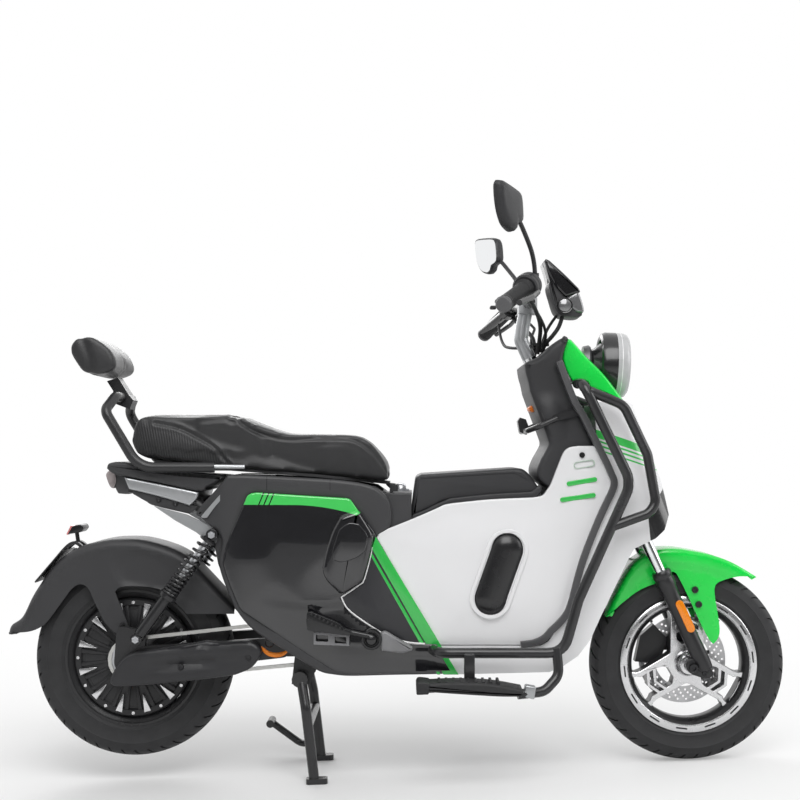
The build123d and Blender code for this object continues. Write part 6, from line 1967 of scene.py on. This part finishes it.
# Footrests: rubber covered steel plates under the crash bars, ribbed across,
# turned up at their ends.
foot_middle = -0.2345
foot_outline = flow(
    mm((622, 208), (626, 211), (652, 211)),
    mm((652, 211), (700, 213), (760, 211), (800, 206)),
    mm((800, 206), (836, 199)),
    mm((836, 199), (838, 186), (834, 184)),
    mm((834, 184), (790, 184), (720, 188), (660, 192)),
    mm((660, 192), (628, 190)),
    mm((628, 190), (621, 196), (622, 208)),
)
footrest = slab("footrest", foot_outline, foot_middle - 0.033, foot_middle + 0.033)
rolled_edge(footrest, foot_middle - 0.033, 0.006)
rolled_edge(footrest, foot_middle + 0.033, 0.006)
foot_rubber = Finish("foot_rubber", (0.022, 0.022, 0.023), 0.55, Specular_IOR_Level=0.35)
foot_rubber.feed(Roughness=0.45 + foot_rubber.place.noise(60, 4) * 0.3)
foot_rubber.bump(foot_rubber.place.stretched(1, 1, 0.5).noise(160, 4), 0.0016, 0.6)
foot_parts = [footrest]
end_cap = slab("footrest_cap", flow(mm((621, 188), (646, 189)), mm((646, 189), (648, 212)), mm((648, 212), (626, 214), (620, 208)), mm((620, 208), (621, 188))), foot_middle - 0.035, foot_middle + 0.035)
bevelled(end_cap, 0.003, 3)
foot_parts.append(end_cap)
for count in range(9):
    foot_parts.append(slab("footrest_rib", mm((664 + count * 15, 205), (671 + count * 15, 205), (670 + count * 15, 214), (665 + count * 15, 214)), foot_middle - 0.026, foot_middle + 0.026))
for piece in foot_parts:
    foot_rubber.on(piece)
footrest = done(joined("footrest_right_pad", foot_parts), 35)
footrest_copy = park(copied(footrest, "footrest_left_pad", to_left))
park(footrest)
for piece, side in ((footrest, "right"), (footrest_copy, "left")):
    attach(piece, "chassis")
    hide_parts("footrest_" + side)


# Passenger pegs: folded ribbed pegs over a grey bracket with two windows, and
# the pedal shaft's capped hubs with a cast arm in front of them.
peg_rib = slab("peg_rib", mm((0, 0), (5, 0), (4.2, 6), (0.8, 6)), -0.158, -0.171)
peg_body = slab("peg_body", flow(mm((390, 326), (392, 342), (400, 344)), mm((400, 344), (452, 323), (470, 310)), mm((470, 310), (486, 302), (480, 294)), mm((480, 294), (400, 304), (392, 312), (390, 326))), -0.146, -0.166)
bevelled(peg_body, 0.003, 3)
peg_parts = [peg_body]
for count in range(9):
    peg_parts.append(copied(peg_rib, "peg_rib", Matrix.Translation((0.398 + count * 0.0085, 0, 0.3385 - count * 0.0042)) @ Matrix.Rotation(math.radians(22), 4, "Y")))
bpy.data.objects.remove(peg_rib)
peg_hinge = bar("peg_hinge", [(0.470, -0.158, 0.303), (0.528, -0.158, 0.291)], 0.0055, smooth=False)
peg_parts.append(peg_hinge)
for piece in peg_parts:
    capsule_black.on(piece)
peg_bracket = plate("peg_bracket", [mm((404, 300), (480, 297), (480, 270), (404, 273)), mm((409, 294), (435, 293), (435, 279), (409, 280)), mm((449, 290), (473, 289), (473, 275), (449, 276))], -0.138, -0.150)
bevelled(peg_bracket, 0.0015, 2)
bracket_grey = powder_coat("bracket_grey", (0.16, 0.16, 0.165), 0.38)
bracket_grey.on(peg_bracket)
hub_cap = turned("hub_cap", [(-0.140, 0.0005), (-0.140, 0.0225), (-0.152, 0.0225), (-0.158, 0.0205), (-0.158, 0.0165), (-0.153, 0.0150), (-0.153, 0.0005)], (0.5265, 0, 0.2845), 48)
capsule_black.on(hub_cap)
hub_dome = turned("hub_dome", [(-0.152, 0.0005), (-0.152, 0.0135), (-0.158, 0.0128), (-0.1635, 0.0095), (-0.1655, 0.0045), (-0.166, 0.0005)], (0.5265, 0, 0.2845), 48)
bezel_gloss.on(hub_dome)
arm_cast = slab("foot_arm", flow(mm((546, 298), (556, 301), (572, 292)), mm((572, 292), (613, 268)), mm((613, 268), (612, 260), (590, 254)), mm((590, 254), (548, 259)), mm((548, 259), (544, 278), (546, 298))), -0.136, -0.149)
rolled_edge(arm_cast, -0.149, 0.006, 4)
bracket_grey.on(arm_cast)
pegs = joined("passenger_pegs", [*peg_parts, peg_bracket, hub_cap, hub_dome, arm_cast])
pegs_left = copied(pegs, "pegs_left", to_left)
pegs = park(done(joined("passenger_pegs", [pegs, pegs_left]), 35))
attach(pegs, "chassis")
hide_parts("foot_pegs")
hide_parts("pedal_shaft")


# Motor lead: an orange sleeved cable from the swingarm to the belly, clipped
# beside the pivot. The stand's two return springs are not drawn.
orange_sleeve = Finish("orange_sleeve", (0.90, 0.24, 0.008), 0.42)
orange_sleeve.feed(Roughness=0.36 + orange_sleeve.place.noise(80, 3) * 0.16)
lead = bar("motor_lead", [(0.286, -0.084, 0.262), (0.296, -0.087, 0.247), (0.318, -0.088, 0.241), (0.340, -0.086, 0.246), (0.356, -0.080, 0.262)], 0.0058)
orange_sleeve.on(lead)
lead_clip = turned("lead_clip", [(-0.080, 0.0005), (-0.080, 0.0100), (-0.090, 0.0100), (-0.093, 0.0070), (-0.093, 0.0005)], (0.305, 0, 0.268), 32)
capsule_black.on(lead_clip)
lead = park(done(joined("motor_lead", [lead, lead_clip]), 40))
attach(lead, "chassis")
